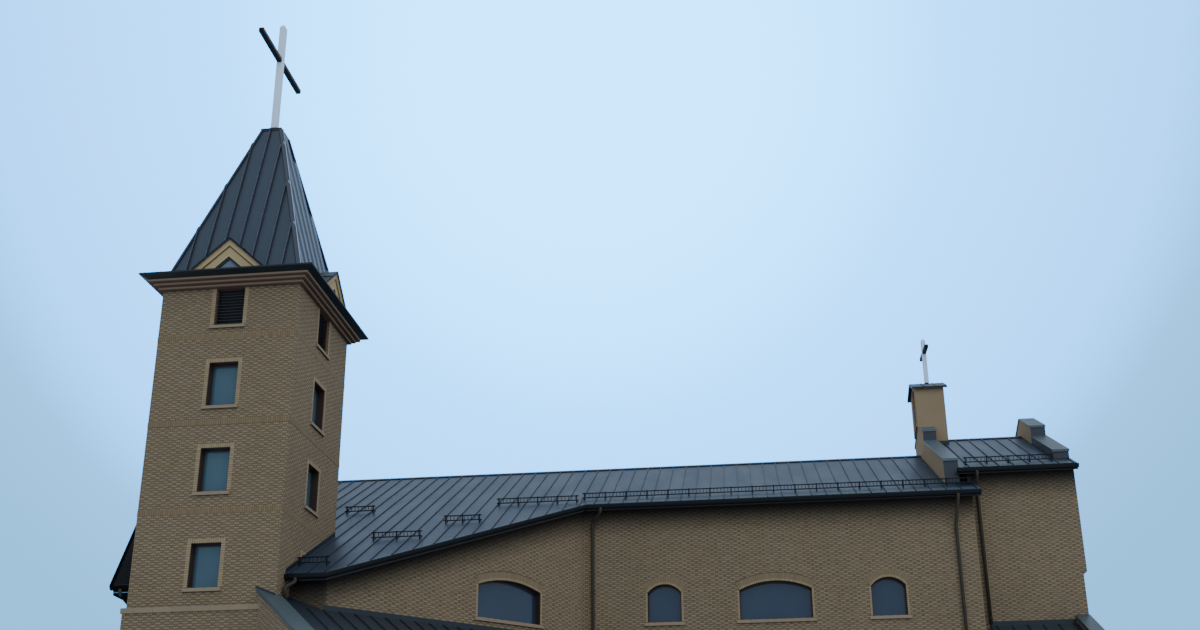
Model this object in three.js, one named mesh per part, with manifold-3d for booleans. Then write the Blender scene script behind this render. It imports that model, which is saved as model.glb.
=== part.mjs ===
// Modern brick church with a square bell tower, in millimetres at real size, +Z up.
// X runs along the nave from the entrance gable to the chancel, Y from the long front to the back.
// Plan sizes are measured from the tower's front right corner, and heights from the ground.
// The group is moved at the end so that its origin is the bottom centre of the whole building.
import * as THREE from "three";
import { mergeVertices } from "three/addons/utils/BufferGeometryUtils.js";
import Module from "manifold-3d";

const wasm = await Module();
wasm.setup();

const SEAT = 0.3; // gap between two solids that touch
const FAR = 30000; // reaches past the building from any point of it
const WALL = 400;
const ROOF = 250; // roof build-up, measured upright
const GLASS = 20;
const FLOOR = 150;
const OVER = 1; // how far a cut or a joined block runs past the face it meets
const DIAGONAL = Math.SQRT1_2;

const tower = {
  width: 4670,
  wallTop: 18450,
  plinthOut: 80,
  plinthTop: 7650,
  bandOut: 120,
  bandTop: 7810,
};
const half = tower.width / 2;
const towerWindow = { width: 970, rows: [[8400, 9800], [11460, 12900], [14340, 15820], [17150, 18450]] };
const towerFloor = { thick: 200, tops: [7730, 10820, 13750, 16750], notch: 2 };
const glassOver = 100; // how far a sheet of glass reaches past the windows in front of it
const cornice = { steps: 3, rise: 100, out: 120 };
const eave = { out: 594, soffit: 18840, edge: 18874, skirtHalf: 2240, skirtTop: 19200 };
const spire = {
  baseHalf: 2200,
  topHalf: 356,
  top: 25830,
  wall: 120,
  capHalf: 385,
  capRise: 60,
  offset: [-30, -15],
};
const spireCross = {
  mast: 220,
  top: 30600,
  barHeight: 28970,
  barThick: 180,
  barHalf: 1900,
  offset: [-45, -85],
};
const dormer = {
  front: 2685,
  apex: 20080,
  slope: 0.9035,
  foot: 18770,
  moulding: 250,
  window: 630,
  step: 40,
  recess: 150,
  wall: 300,
};

const pitch = 0.5621; // rise of the nave and chancel roofs per unit of plan
const ridgeY = 13443;
const mirrorY = (y) => 2 * ridgeY - y;
const nave = {
  ridge: 16104,
  west: -9280,
  east: 22353,
  front: 8083,
  back: mirrorY(8083),
  shortWall: 1030,
  rightCorner: 1125,
  splayEnd: 8178,
  leftCorner: -5222,
  leftSplayEnd: 9560,
};
const naveEave = {
  y: 7689,
  shortY: 626,
  leftY: 100,
  shortRight: 1297,
  shortLeft: -5216,
  rightSplay: 8360,
  west: -9680,
  westY: 9484,
  east: 22580,
};
const naveWindow = {
  sill: 8470,
  spring: 9550,
  rise: 310,
  lowerDrop: 5200,
  small: 1220,
  wide: 2578,
  pitch: 3980,
  first: 19126,
  frontCount: 3,
  backCount: 7,
};
const splayWindow = { sill: 8250, spring: 9380, rise: 270, along: 8360, leftAlong: 3900, door: 5500 };
const door = { width: 1000, height: 2200 };
const entrance = { width: 2200, spring: 2900, rise: 300, setBack: 100, thick: 80, windowOut: 2500 };
const chancel = {
  ridge: 16745,
  front: 8728,
  back: mirrorY(8728),
  east: 26176,
  stepZ: 9950,
  stepIn: 130,
  eaveY: 8441,
  roofEast: 26250,
};
const chancelArch = { width: 7000, spring: 8500, rise: 1500 };
const gutter = { wide: 130, high: 190, middle: 65, lip: 60 };
const pipes = { radius: 60, sides: 10, ballRings: 6, ball: 1.04, offWall: 20, drop: 60, neck: 330 };
const chancelGutter = { west: 21950, east: 26270 };
const naveBackPipes = [-8600, 8580, 21800];
const naveLeftPipe = -4950;
const naveFrontPipe = { x: 8920, xBelow: 8580 };
const naveEastPipe = { x: 21760, xBelow: 21660, neck: 900 };
const chancelPipe = 22660;
const shortPipe = { x: 350, below: 110, wall: 400, drop: 40, neck: 200 };

const leanTo = {
  pitch: 0.57,
  head: 7838,
  coping: 8065,
  copingThick: 80,
  depth: 3200,
  verge: 150,
  overhang: 350,
};
const leanToWall = { leftFrom: -430, leftTo: 205, rightFrom: 10270, rightTo: 10820, copingOut: 40 };
const leanToWindows = [2600, 5300, 8000];
const lowGlass = 1700; // height of the sheets of glass in the lean-to and the annex
const annex = {
  west: 22750,
  east: 26030,
  front: 5130,
  roofHead: 8090,
  copingHead: 8390,
  roofWest: 22630,
  overhang: 300,
  door: 24300,
};
const bellCote = {
  west: 21450,
  east: 22600,
  halfWide: 660,
  eave: 18890,
  ridge: 19330,
  overhang: 130,
  roof: 80,
  archHalf: 300,
  archSpring: 18710,
};
const roofCross = { x: 22060, mast: 110, top: 21350, barHeight: 20720, barThick: 120, barHalf: 800 };

const roofTop = (ridge) => (x, y) => ridge - pitch * Math.abs(y - ridgeY);
const naveTop = roofTop(nave.ridge);
const chancelTop = roofTop(chancel.ridge);

// Each parapet runs up the near half of its gable as (y, height) points, and mirrored down the far half.
const parapets = [
  {
    name: "nave_gable_parapet",
    x0: 21530,
    x1: 22040,
    roof: naveTop,
    profile: [[8600, 14330], [12140, 16250], [12380, 16380], [12380, 16870], [ridgeY, 17470]],
  },
  {
    name: "chancel_gable_parapet",
    x0: 25650,
    x1: 26200,
    roof: chancelTop,
    profile: [[9200, 14700], [11900, 16210], [11900, 16650], [ridgeY, 17520]],
  },
];

const brick = new THREE.MeshStandardMaterial({ color: 0x8f7f60, roughness: 0.9 });
const plaster = new THREE.MeshStandardMaterial({ color: 0xa58a66, roughness: 0.9 });
const stone = new THREE.MeshStandardMaterial({ color: 0xa39a86, roughness: 0.85 });
const roofMetal = new THREE.MeshStandardMaterial({ color: 0x3f4c58, roughness: 0.45, metalness: 0.6 });
const trimMetal = new THREE.MeshStandardMaterial({ color: 0x20262c, roughness: 0.5, metalness: 0.6 });
const paleMetal = new THREE.MeshStandardMaterial({ color: 0xc8ced4, roughness: 0.35, metalness: 0.7 });
const glass = new THREE.MeshStandardMaterial({ color: 0x39566b, roughness: 0.1 });
const concrete = new THREE.MeshStandardMaterial({ color: 0x8b8a86, roughness: 0.95 });
const timber = new THREE.MeshStandardMaterial({ color: 0x4a3022, roughness: 0.7 });

// Solids

function solidOf(geometry) {
  const flat = geometry.index ? geometry.toNonIndexed() : geometry;
  const bare = new THREE.BufferGeometry().setAttribute("position", flat.getAttribute("position"));
  const merged = mergeVertices(bare, 1e-3);
  return new wasm.Manifold(
    new wasm.Mesh({
      numProp: 3,
      vertProperties: merged.attributes.position.array,
      triVerts: new Uint32Array(merged.index.array),
    }),
  );
}

function geometryOf(solid) {
  const mesh = solid.getMesh();
  const stride = mesh.numProp;
  const positions = new Float32Array(mesh.numVert * 3);
  for (let i = 0; i < mesh.numVert; i++) {
    positions.set(mesh.vertProperties.subarray(i * stride, i * stride + 3), i * 3);
  }
  const geometry = new THREE.BufferGeometry();
  geometry.setAttribute("position", new THREE.BufferAttribute(positions, 3));
  geometry.setIndex(new THREE.BufferAttribute(mesh.triVerts, 1));
  geometry.computeVertexNormals();
  return geometry;
}

function box(x0, x1, y0, y1, z0, z1) {
  const geometry = new THREE.BoxGeometry(x1 - x0, y1 - y0, z1 - z0);
  geometry.translate((x0 + x1) / 2, (y0 + y1) / 2, (z0 + z1) / 2);
  return solidOf(geometry);
}

// A plan outline raised between two levels, each a height or a function of x and y.
function prism(plan, bottom, top) {
  const shape = new THREE.Shape(plan.map(([x, y]) => new THREE.Vector2(x, y)));
  const geometry = new THREE.ExtrudeGeometry(shape, { depth: 1, bevelEnabled: false });
  const place = geometry.getAttribute("position");
  for (let i = 0; i < place.count; i++) {
    const level = place.getZ(i) > 0.5 ? top : bottom;
    place.setZ(i, typeof level === "function" ? level(place.getX(i), place.getY(i)) : level);
  }
  return solidOf(geometry);
}

// An upright outline of (across, height) points, centred in depth on a wall that runs at an angle in plan.
function upright(outline, [x, y], angle, depth) {
  const shape = new THREE.Shape(outline.map(([u, v]) => new THREE.Vector2(u, v)));
  const geometry = new THREE.ExtrudeGeometry(shape, { depth, bevelEnabled: false });
  geometry.translate(0, 0, -depth / 2);
  const along = new THREE.Vector3(Math.cos(angle), Math.sin(angle), 0);
  const up = new THREE.Vector3(0, 0, 1);
  const turn = new THREE.Matrix4().makeBasis(along, up, along.clone().cross(up));
  geometry.applyMatrix4(turn.setPosition(x, y, 0));
  return solidOf(geometry);
}

// An outline of (y, height) points between two places along X.
function acrossNave(outline, x0, x1) {
  return upright(outline, [(x0 + x1) / 2, 0], Math.PI / 2, x1 - x0);
}

// A square frustum about the origin, its sides parallel to X and Y.
function frustum(bottomHalf, bottom, topHalf, top) {
  const radius = Math.SQRT2;
  const geometry = new THREE.CylinderGeometry(topHalf * radius, bottomHalf * radius, top - bottom, 4, 1);
  geometry.rotateY(Math.PI / 4).rotateX(Math.PI / 2).translate(0, 0, (bottom + top) / 2);
  return solidOf(geometry);
}

function squareRing(outer, inner, bottom, top) {
  return box(-outer, outer, -outer, outer, bottom, top).subtract(
    box(-inner, inner, -inner, inner, bottom - OVER, top + OVER),
  );
}

// A round pipe along straight legs, with a ball at each bend.
function pipe(points) {
  const { radius, sides: around, ball, ballRings } = pipes;
  let whole = null;
  const join = (geometry) => {
    const next = solidOf(geometry);
    whole = whole ? whole.add(next) : next;
  };
  points.slice(1).forEach((point, i) => {
    const from = new THREE.Vector3(...points[i]);
    const to = new THREE.Vector3(...point);
    const leg = to.clone().sub(from);
    const yAxis = new THREE.Vector3(0, 1, 0);
    const turn = new THREE.Quaternion().setFromUnitVectors(yAxis, leg.clone().normalize());
    const geometry = new THREE.CylinderGeometry(radius, radius, leg.length(), around);
    const middle = from.clone().add(to).multiplyScalar(0.5);
    geometry.applyMatrix4(new THREE.Matrix4().compose(middle, turn, new THREE.Vector3(1, 1, 1)));
    join(geometry);
  });
  points.slice(1, -1).forEach((point) => {
    join(new THREE.SphereGeometry(radius * ball, around, ballRings).translate(...point));
  });
  return whole;
}

// Plan lines

const quarterTurn = ([x, y], turns) => {
  const cos = [1, 0, -1, 0][turns];
  const sin = [0, 1, 0, -1][turns];
  return [x * cos - y * sin, x * sin + y * cos];
};

const leftOf = ([x0, y0], [x1, y1]) => {
  const length = Math.hypot(x1 - x0, y1 - y0);
  return [-(y1 - y0) / length, (x1 - x0) / length];
};

// The points of a line moved to its left, with mitred corners.
function offsetLine(points, distance) {
  return points.map(([x, y], i) => {
    const before = leftOf(points[Math.max(i - 1, 0)], points[Math.max(i, 1)]);
    const last = points.length - 1;
    const after = leftOf(points[Math.min(i, last - 1)], points[Math.min(i + 1, last)]);
    const share = distance / (1 + before[0] * after[0] + before[1] * after[1]);
    return [x + (before[0] + after[0]) * share, y + (before[1] + after[1]) * share];
  });
}

// The plan of one straight stretch of a wall, drawn back a little at the ends where it meets the next node.
function wallPlan(outer, inner, index, gaps = [SEAT / 2, SEAT / 2]) {
  const [left, right] = [outer[index], outer[index + 1]];
  const [nx, ny] = leftOf(left, right);
  const along = [ny, -nx];
  const move = ([x, y], by) => [x + along[0] * by, y + along[1] * by];
  return [
    move(left, gaps[0]),
    move(right, -gaps[1]),
    move(inner[index + 1], -gaps[1]),
    move(inner[index], gaps[0]),
  ];
}

// A strip beside a line from one plan point to another, between two distances to its left.
function strip(from, to, near, far) {
  const [nx, ny] = leftOf(from, to);
  const move = ([x, y], by) => [x + nx * by, y + ny * by];
  return [move(from, near), move(to, near), move(to, far), move(from, far)];
}

const onSplay = (along, out) => [(along + out) * DIAGONAL, (along - out) * DIAGONAL];
const splayOut = (x, y) => (x - y) * DIAGONAL;

// Outlines

// A window or doorway with a flat segmental arch, standing on its sill.
function archOutline(width, sill, spring, rise) {
  const radius = (width * width) / (8 * rise) + rise / 2;
  const reach = Math.asin(width / 2 / radius);
  const steps = 8;
  const points = [[-width / 2, sill], [width / 2, sill]];
  for (let i = 0; i <= steps; i++) {
    const angle = reach - (2 * reach * i) / steps;
    points.push([radius * Math.sin(angle), spring + rise - radius * (1 - Math.cos(angle))]);
  }
  return points;
}

// The room under a ridged roof, which cuts the tops of its walls.
function underRoof(ridge, x0, x1) {
  const level = (y) => roofTop(ridge)(0, y) - ROOF - SEAT;
  const reach = FAR / 2;
  const outline = [-reach, 0, reach].map((dy) => [ridgeY + dy, level(ridgeY + dy)]);
  return acrossNave([[ridgeY - reach, 0], [ridgeY + reach, 0], ...outline.reverse()], x0, x1);
}

// Nodes

const church = new THREE.Group();
const towerGroup = new THREE.Group();
towerGroup.position.set(-half, half, 0);
church.add(towerGroup);

function addNode(name, solid, material, parent = church) {
  const mesh = new THREE.Mesh(geometryOf(solid), material);
  mesh.name = name;
  parent.add(mesh);
  return mesh;
}

const sides = ["front", "right", "back", "left"];

// Tower, about its own axis

function towerWall(full) {
  const inset = full ? 0 : WALL + SEAT;
  const out = full ? tower.plinthOut : 0;
  const face = half + tower.plinthOut;
  let wall = box(-half + inset, half - inset, -half, -half + WALL, 0, tower.wallTop);
  wall = wall.add(box(-half + inset - out, half - inset + out, -face, -half + WALL, 0, tower.plinthTop));
  for (const [sill, head] of towerWindow.rows) {
    const reach = towerWindow.width / 2;
    wall = wall.subtract(box(-reach, reach, -face, -half + 2 * WALL, sill, head + SEAT));
  }
  return wall;
}

function towerWalls() {
  sides.forEach((side, i) => {
    let wall = towerWall(i % 2 === 0);
    if (side === "back") wall = wall.subtract(doorway([0, -half], 0));
    addNode(`tower_${side}_wall`, wall, brick, towerGroup).rotation.z = (i * Math.PI) / 2;
  });
}

const sheetTop = tower.wallTop + cornice.rise;
const sheetHalf = towerWindow.width / 2 + glassOver;

function towerGlass() {
  const face = half - WALL - SEAT;
  sides.forEach((side, i) => {
    const bottom = towerWindow.rows[0][0] - glassOver;
    const sheet = box(-sheetHalf, sheetHalf, -face, -face + GLASS, bottom, sheetTop);
    addNode(`tower_${side}_glass`, sheet, glass, towerGroup).rotation.z = (i * Math.PI) / 2;
  });
}

function towerFloors() {
  const edge = half - WALL - SEAT;
  const notchHalf = sheetHalf + towerFloor.notch;
  towerFloor.tops.forEach((top, i) => {
    const bottom = top - towerFloor.thick;
    let slab = box(-edge, edge, -edge, edge, bottom, top);
    const depth = edge - GLASS - 2 * SEAT;
    if (top > towerWindow.rows[0][0]) {
      const [low, high, out] = [bottom - OVER, top + OVER, edge + OVER];
      slab = slab
        .subtract(box(-notchHalf, notchHalf, depth, out, low, high))
        .subtract(box(-notchHalf, notchHalf, -out, -depth, low, high))
        .subtract(box(depth, out, -notchHalf, notchHalf, low, high))
        .subtract(box(-out, -depth, -notchHalf, notchHalf, low, high));
    }
    addNode(`tower_floor_${i + 1}`, slab, concrete, towerGroup);
  });
}

function towerCornice() {
  let ring = null;
  for (let i = 0; i < cornice.steps; i++) {
    const bottom = tower.wallTop + SEAT + i * cornice.rise;
    const step = squareRing(half + cornice.out * (i + 1), half - WALL, bottom, bottom + cornice.rise);
    ring = ring ? ring.add(step) : step;
  }
  return ring;
}

function eaveBody() {
  const seat = tower.wallTop + cornice.steps * cornice.rise + 2 * SEAT;
  return frustum(half + cornice.steps * cornice.out, seat, half + eave.out, eave.soffit)
    .add(frustum(half + eave.out, eave.soffit, half + eave.out, eave.edge))
    .add(frustum(half + eave.out, eave.edge, eave.skirtHalf, eave.skirtTop));
}

function towerEave() {
  const inner = half - WALL;
  return eaveBody().subtract(box(-inner, inner, -inner, inner, 0, FAR));
}

// The four-sided spire between two heights, its sides moved out by an amount.
function spireBody(out, bottom, top) {
  const slope = (spire.baseHalf - spire.topHalf) / (spire.top - eave.skirtTop);
  const halfAt = (z) => spire.baseHalf - slope * (z - eave.skirtTop) + out;
  return frustum(halfAt(bottom), bottom, halfAt(top), top);
}

function spireShell() {
  const bottom = eave.skirtTop + SEAT;
  const { capHalf, capRise, top, wall } = spire;
  const cap = box(-capHalf, capHalf, -capHalf, capHalf, top - capRise, top + capRise);
  const hollow = spireBody(-wall, bottom - OVER, top - 4 * capRise);
  return spireBody(0, bottom, top).add(cap).subtract(hollow);
}

function spireCrossBody() {
  const mastHalf = spireCross.mast / 2;
  const barHalf = spireCross.barThick / 2;
  const bottom = spire.top + spire.capRise + SEAT;
  const tip = barHalf;
  const bar = upright(
    [
      [-spireCross.barHalf, spireCross.barHeight],
      [-spireCross.barHalf + tip, spireCross.barHeight - barHalf],
      [spireCross.barHalf - tip, spireCross.barHeight - barHalf],
      [spireCross.barHalf, spireCross.barHeight],
      [spireCross.barHalf - tip, spireCross.barHeight + barHalf],
      [-spireCross.barHalf + tip, spireCross.barHeight + barHalf],
    ],
    [0, 0],
    Math.PI / 2,
    spireCross.barThick,
  );
  return box(-mastHalf, mastHalf, -mastHalf, mastHalf, bottom, spireCross.top).add(bar);
}

// A gable that stands on the skirt in front of the spire, with stepped raking bands and a window recess.
function dormerBody(turns) {
  const angle = (turns * Math.PI) / 2;
  const triangle = (drop) => {
    const reach = (dormer.apex - drop - dormer.foot) / dormer.slope;
    return [[-reach, dormer.foot], [reach, dormer.foot], [0, dormer.apex - drop]];
  };
  const place = (out) => {
    const [x, y] = quarterTurn([0, -out], turns);
    return [x + spire.offset[0], y + spire.offset[1]];
  };
  const inward = dormer.front / 2;
  const wedge = (drop, out) => upright(triangle(drop), place(out - inward / 2), angle, inward);
  const recess = (drop, depth) => upright(triangle(drop), place(dormer.front), angle, 2 * depth);
  return wedge(0, dormer.front)
    .subtract(recess(dormer.moulding, dormer.step))
    .subtract(recess(dormer.window, dormer.recess))
    .subtract(wedge(dormer.moulding, dormer.front - dormer.wall))
    .subtract(spireBody(SEAT, dormer.foot, spire.top).translate(...spire.offset, 0))
    .subtract(eaveBody().translate(0, 0, SEAT));
}

function doorway(place, angle) {
  const reach = door.width / 2;
  const outline = [[-reach, -OVER], [reach, -OVER], [reach, door.height], [-reach, door.height]];
  return upright(outline, place, angle, 4 * WALL);
}

towerWalls();
towerGlass();
towerFloors();

const band = squareRing(half + tower.bandOut, half + SEAT, tower.plinthTop + SEAT, tower.bandTop);
addNode("tower_stone_band", band, stone, towerGroup);
addNode("tower_cornice", towerCornice(), stone, towerGroup);
addNode("tower_eave", towerEave(), roofMetal, towerGroup);
const spireNode = addNode("spire", spireShell(), roofMetal, towerGroup);
spireNode.position.set(...spire.offset, 0);
const crossNode = addNode("spire_cross", spireCrossBody(), paleMetal, towerGroup);
crossNode.position.set(...spireCross.offset, 0);
sides.forEach((side, i) => addNode(`dormer_${side}`, dormerBody(i), stone, towerGroup));

// What stands against the tower is cut back from it by the gap of a seat.
const towerSpace = () => {
  const space = (out, bottom, top) => box(-out, out, -out, out, bottom, top);
  return space(half + tower.plinthOut + SEAT, -WALL, tower.plinthTop + SEAT)
    .add(space(half + tower.bandOut + SEAT, tower.plinthTop, tower.bandTop + SEAT))
    .add(space(half + SEAT, tower.bandTop, FAR))
    .translate(-half, half, 0);
};
const clearOfTower = (solid) => solid.subtract(towerSpace());

// Nave walls

const rightFront = [
  [-half, nave.shortWall],
  [nave.rightCorner, nave.shortWall],
  [nave.splayEnd, nave.front],
  [nave.east, nave.front],
];
const leftAndBack = [
  [nave.east, nave.back],
  [nave.west, nave.back],
  [nave.west, nave.leftSplayEnd],
  [nave.leftCorner, nave.shortWall],
  [-half, nave.shortWall],
];
const rightInner = offsetLine(rightFront, WALL);
const leftInner = offsetLine(leftAndBack, WALL);
const naveRoom = underRoof(nave.ridge, nave.west - WALL, nave.east + WALL);
const naveWall = (plan) => prism(plan, 0, FAR).intersect(naveRoom);

function cornerWall(outer, inner, indices, gaps) {
  const plans = indices.map((index, i) => wallPlan(outer, inner, index, gaps[i]));
  return clearOfTower(naveWall(plans[0]).add(naveWall(plans[1])));
}

const windowAt = (width, drop) =>
  archOutline(width, naveWindow.sill - drop, naveWindow.spring - drop, naveWindow.rise);

// Two rows of windows, small and wide by turns, in a wall that runs along X.
function windowRows(wall, y, count) {
  for (let i = 0; i < count; i++) {
    const width = i % 2 ? naveWindow.wide : naveWindow.small;
    const place = [naveWindow.first - i * naveWindow.pitch, y];
    for (const drop of [0, naveWindow.lowerDrop]) {
      wall = wall.subtract(upright(windowAt(width, drop), place, 0, 4 * WALL));
    }
  }
  return wall;
}

const between = ([x0, y0], [x1, y1], along) => {
  const length = Math.hypot(x1 - x0, y1 - y0);
  return [x0 + ((x1 - x0) * along) / length, y0 + ((y1 - y0) * along) / length];
};
const splayOutline = archOutline(
  naveWindow.wide,
  splayWindow.sill,
  splayWindow.spring,
  splayWindow.rise,
);

function naveWalls() {
  const frontWall = naveWall(wallPlan(rightFront, rightInner, 2, [SEAT / 2, 0]));
  addNode("nave_front_wall", windowRows(frontWall, nave.front, naveWindow.frontCount), brick);

  const rightSplay = cornerWall(rightFront, rightInner, [0, 1], [[0, 0], [0, SEAT / 2]])
    .subtract(upright(splayOutline, onSplay(splayWindow.along, 0), Math.PI / 4, 4 * WALL))
    .subtract(doorway(onSplay(splayWindow.door, 0), Math.PI / 4));
  addNode("nave_right_splay_wall", rightSplay, brick);

  const leftAngle = Math.atan2(nave.leftSplayEnd - nave.shortWall, nave.west - nave.leftCorner);
  const leftMiddle = between(leftAndBack[3], leftAndBack[2], splayWindow.leftAlong);
  const leftSplay = cornerWall(leftAndBack, leftInner, [3, 2], [[0, 0], [SEAT / 2, 0]])
    .subtract(upright(splayOutline, leftMiddle, leftAngle, 4 * WALL));
  addNode("nave_left_splay_wall", leftSplay, brick);

  const backWall = naveWall(wallPlan(leftAndBack, leftInner, 0, [0, SEAT / 2]));
  addNode("nave_back_wall", windowRows(backWall, nave.back, naveWindow.backCount), brick);

  let gable = naveWall(wallPlan(leftAndBack, leftInner, 1));
  for (const side of [-1, 1]) {
    const place = [nave.west, ridgeY + side * entrance.windowOut];
    gable = gable.subtract(upright(windowAt(naveWindow.small, 0), place, Math.PI / 2, 4 * WALL));
  }
  gable = gable.subtract(upright(entranceOutline(0), [nave.west, ridgeY], Math.PI / 2, 4 * WALL));
  addNode("entrance_gable_wall", gable, brick);

  const crossWall = prism(
    [
      [nave.east - WALL, nave.front + WALL + SEAT],
      [nave.east, nave.front + WALL + SEAT],
      [nave.east, nave.back - WALL - SEAT],
      [nave.east - WALL, nave.back - WALL - SEAT],
    ],
    0,
    FAR,
  ).intersect(naveRoom);
  const arch = archOutline(chancelArch.width, -OVER, chancelArch.spring, chancelArch.rise);
  const opening = upright(arch, [nave.east, ridgeY], Math.PI / 2, 4 * WALL);
  addNode("chancel_arch_wall", crossWall.subtract(opening), brick);
}

const entranceOutline = (gap) => {
  const width = entrance.width - 2 * gap;
  return archOutline(width, gap ? FLOOR + gap : -OVER, entrance.spring, entrance.rise - gap);
};

naveWalls();
const entrancePlace = [nave.west + entrance.setBack + entrance.thick / 2, ridgeY];
const entranceLeaf = upright(entranceOutline(SEAT), entrancePlace, Math.PI / 2, entrance.thick);
addNode("entrance_door", entranceLeaf, timber);

// Sheets of glass on the inner faces, each behind all the windows of its wall

function glassSheet(name, from, to, bottom, top) {
  addNode(name, prism(strip(from, to, WALL + SEAT, WALL + SEAT + GLASS), bottom, top), glass);
}

const glassTop = naveWindow.spring + naveWindow.rise + glassOver;
const glassBottom = naveWindow.sill - naveWindow.lowerDrop - glassOver;
const rowEnd = (count) => naveWindow.first - (count - 1) * naveWindow.pitch - naveWindow.wide / 2;
const rowStart = naveWindow.first + naveWindow.small / 2 + glassOver;
const frontEnd = [rowEnd(naveWindow.frontCount), nave.front];
const backEnd = [rowEnd(naveWindow.backCount), nave.back];
glassSheet("nave_front_glass", frontEnd, [rowStart, nave.front], glassBottom, glassTop);
glassSheet("nave_back_glass", [rowStart, nave.back], backEnd, glassBottom, glassTop);
const splayGlass = (from, to, middle) => {
  const reach = naveWindow.wide / 2 + glassOver;
  const ends = [between(from, to, middle - reach), between(from, to, middle + reach)];
  return [...ends, splayWindow.sill - glassOver, glassTop];
};
const splayStart = (nave.rightCorner + nave.shortWall) * DIAGONAL;
const rightMiddle = splayWindow.along - splayStart;
glassSheet("nave_right_splay_glass", ...splayGlass(rightFront[1], rightFront[2], rightMiddle));
const leftLength = Math.hypot(nave.leftSplayEnd - nave.shortWall, nave.west - nave.leftCorner);
const leftSplayMiddle = leftLength - splayWindow.leftAlong;
glassSheet("nave_left_splay_glass", ...splayGlass(leftAndBack[2], leftAndBack[3], leftSplayMiddle));
const gableReach = entrance.windowOut + naveWindow.small;
glassSheet(
  "entrance_gable_glass",
  [nave.west, ridgeY + gableReach],
  [nave.west, ridgeY - gableReach],
  naveWindow.sill - glassOver,
  glassTop,
);

// Nave roof

const leftEdge = [
  [naveEave.west, naveEave.westY],
  [naveEave.shortLeft, naveEave.leftY],
];
const rightEdge = [
  [naveEave.shortRight, naveEave.shortY],
  [naveEave.rightSplay, naveEave.y],
  [naveEave.east, naveEave.y],
];
const chancelSide = chancel.front - SEAT;
const roofSlab = (plan, top) => prism(plan, (x, y) => top(x, y) - ROOF, top);
const naveRoofFront = roofSlab(
  [
    ...leftEdge,
    [-half, naveEave.leftY],
    [-half, naveEave.shortY],
    ...rightEdge,
    [naveEave.east, chancelSide],
    [nave.east, chancelSide],
    [nave.east, ridgeY - SEAT / 2],
    [naveEave.west, ridgeY - SEAT / 2],
  ],
  naveTop,
);
addNode("nave_roof_front", clearOfTower(naveRoofFront), roofMetal);
const naveRoofBack = roofSlab(
  [
    [naveEave.west, ridgeY + SEAT / 2],
    [nave.east, ridgeY + SEAT / 2],
    [nave.east, mirrorY(chancelSide)],
    [naveEave.east, mirrorY(chancelSide)],
    [naveEave.east, mirrorY(naveEave.y)],
    [naveEave.west, mirrorY(naveEave.y)],
  ],
  naveTop,
);
addNode("nave_roof_back", naveRoofBack, roofMetal);

// Gutters with their downpipes

function gutterRun(edge, top) {
  const inner = offsetLine(edge, -SEAT);
  const outer = offsetLine(edge, -SEAT - gutter.wide);
  let run = null;
  for (let i = 0; i + 1 < edge.length; i++) {
    const plan = [outer[i], outer[i + 1], inner[i + 1], inner[i]];
    const piece = prism(plan, (x, y) => top(x, y) - gutter.high, top);
    run = run ? run.add(piece) : piece;
  }
  return run;
}

// A downpipe with its swan neck from the gutter back to the wall, and then straight down to its foot.
function downpipe(place, gutterY, wallY, level) {
  const { x, xBelow = x, neck = pipes.neck, foot = 0 } = place;
  const side = Math.sign(wallY - gutterY);
  const pipeY = wallY - side * (pipes.radius + pipes.offWall);
  const bend = level - gutter.high - pipes.drop;
  return pipe([
    [x, gutterY, level],
    [x, gutterY, bend],
    [xBelow, pipeY, bend - neck],
    [xBelow, pipeY, foot],
  ]);
}

// The pipe beside the tower, which ends over the lean-to's roof
function pipeBesideTower() {
  const y = naveEave.shortY - gutter.middle;
  const level = naveTop(0, naveEave.shortY) - gutter.lip;
  const bend = level - gutter.high - shortPipe.drop;
  const foot = leanToTop(shortPipe.below, shortPipe.wall) + 2 * pipes.radius;
  return pipe([
    [shortPipe.x, y, level],
    [shortPipe.x, y, bend],
    [shortPipe.below, shortPipe.wall, bend - shortPipe.neck],
    [shortPipe.below, shortPipe.wall, foot],
  ]);
}

function naveGutters() {
  const level = naveTop(0, naveEave.y) - gutter.lip;
  const gutterY = naveEave.y - gutter.middle;
  const front = gutterRun([[SEAT, naveEave.shortY], ...rightEdge], naveTop)
    .add(downpipe(naveFrontPipe, gutterY, nave.front, level))
    .add(downpipe(naveEastPipe, gutterY, nave.front, level))
    .add(pipeBesideTower());
  addNode("nave_gutter_front", front, trimMetal);

  const leftLevel = naveTop(0, naveEave.leftY) - gutter.lip;
  const leftY = naveEave.leftY - gutter.middle;
  const left = gutterRun([...leftEdge, [-tower.width - SEAT, naveEave.leftY]], naveTop)
    .add(downpipe({ x: naveLeftPipe }, leftY, nave.shortWall, leftLevel));
  addNode("nave_gutter_left", left, trimMetal);

  const backEdge = [[naveEave.east, mirrorY(naveEave.y)], [naveEave.west, mirrorY(naveEave.y)]];
  let back = gutterRun(backEdge, naveTop);
  for (const x of naveBackPipes) {
    back = back.add(downpipe({ x }, mirrorY(gutterY), nave.back, level));
  }
  addNode("nave_gutter_back", back, trimMetal);
}

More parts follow.
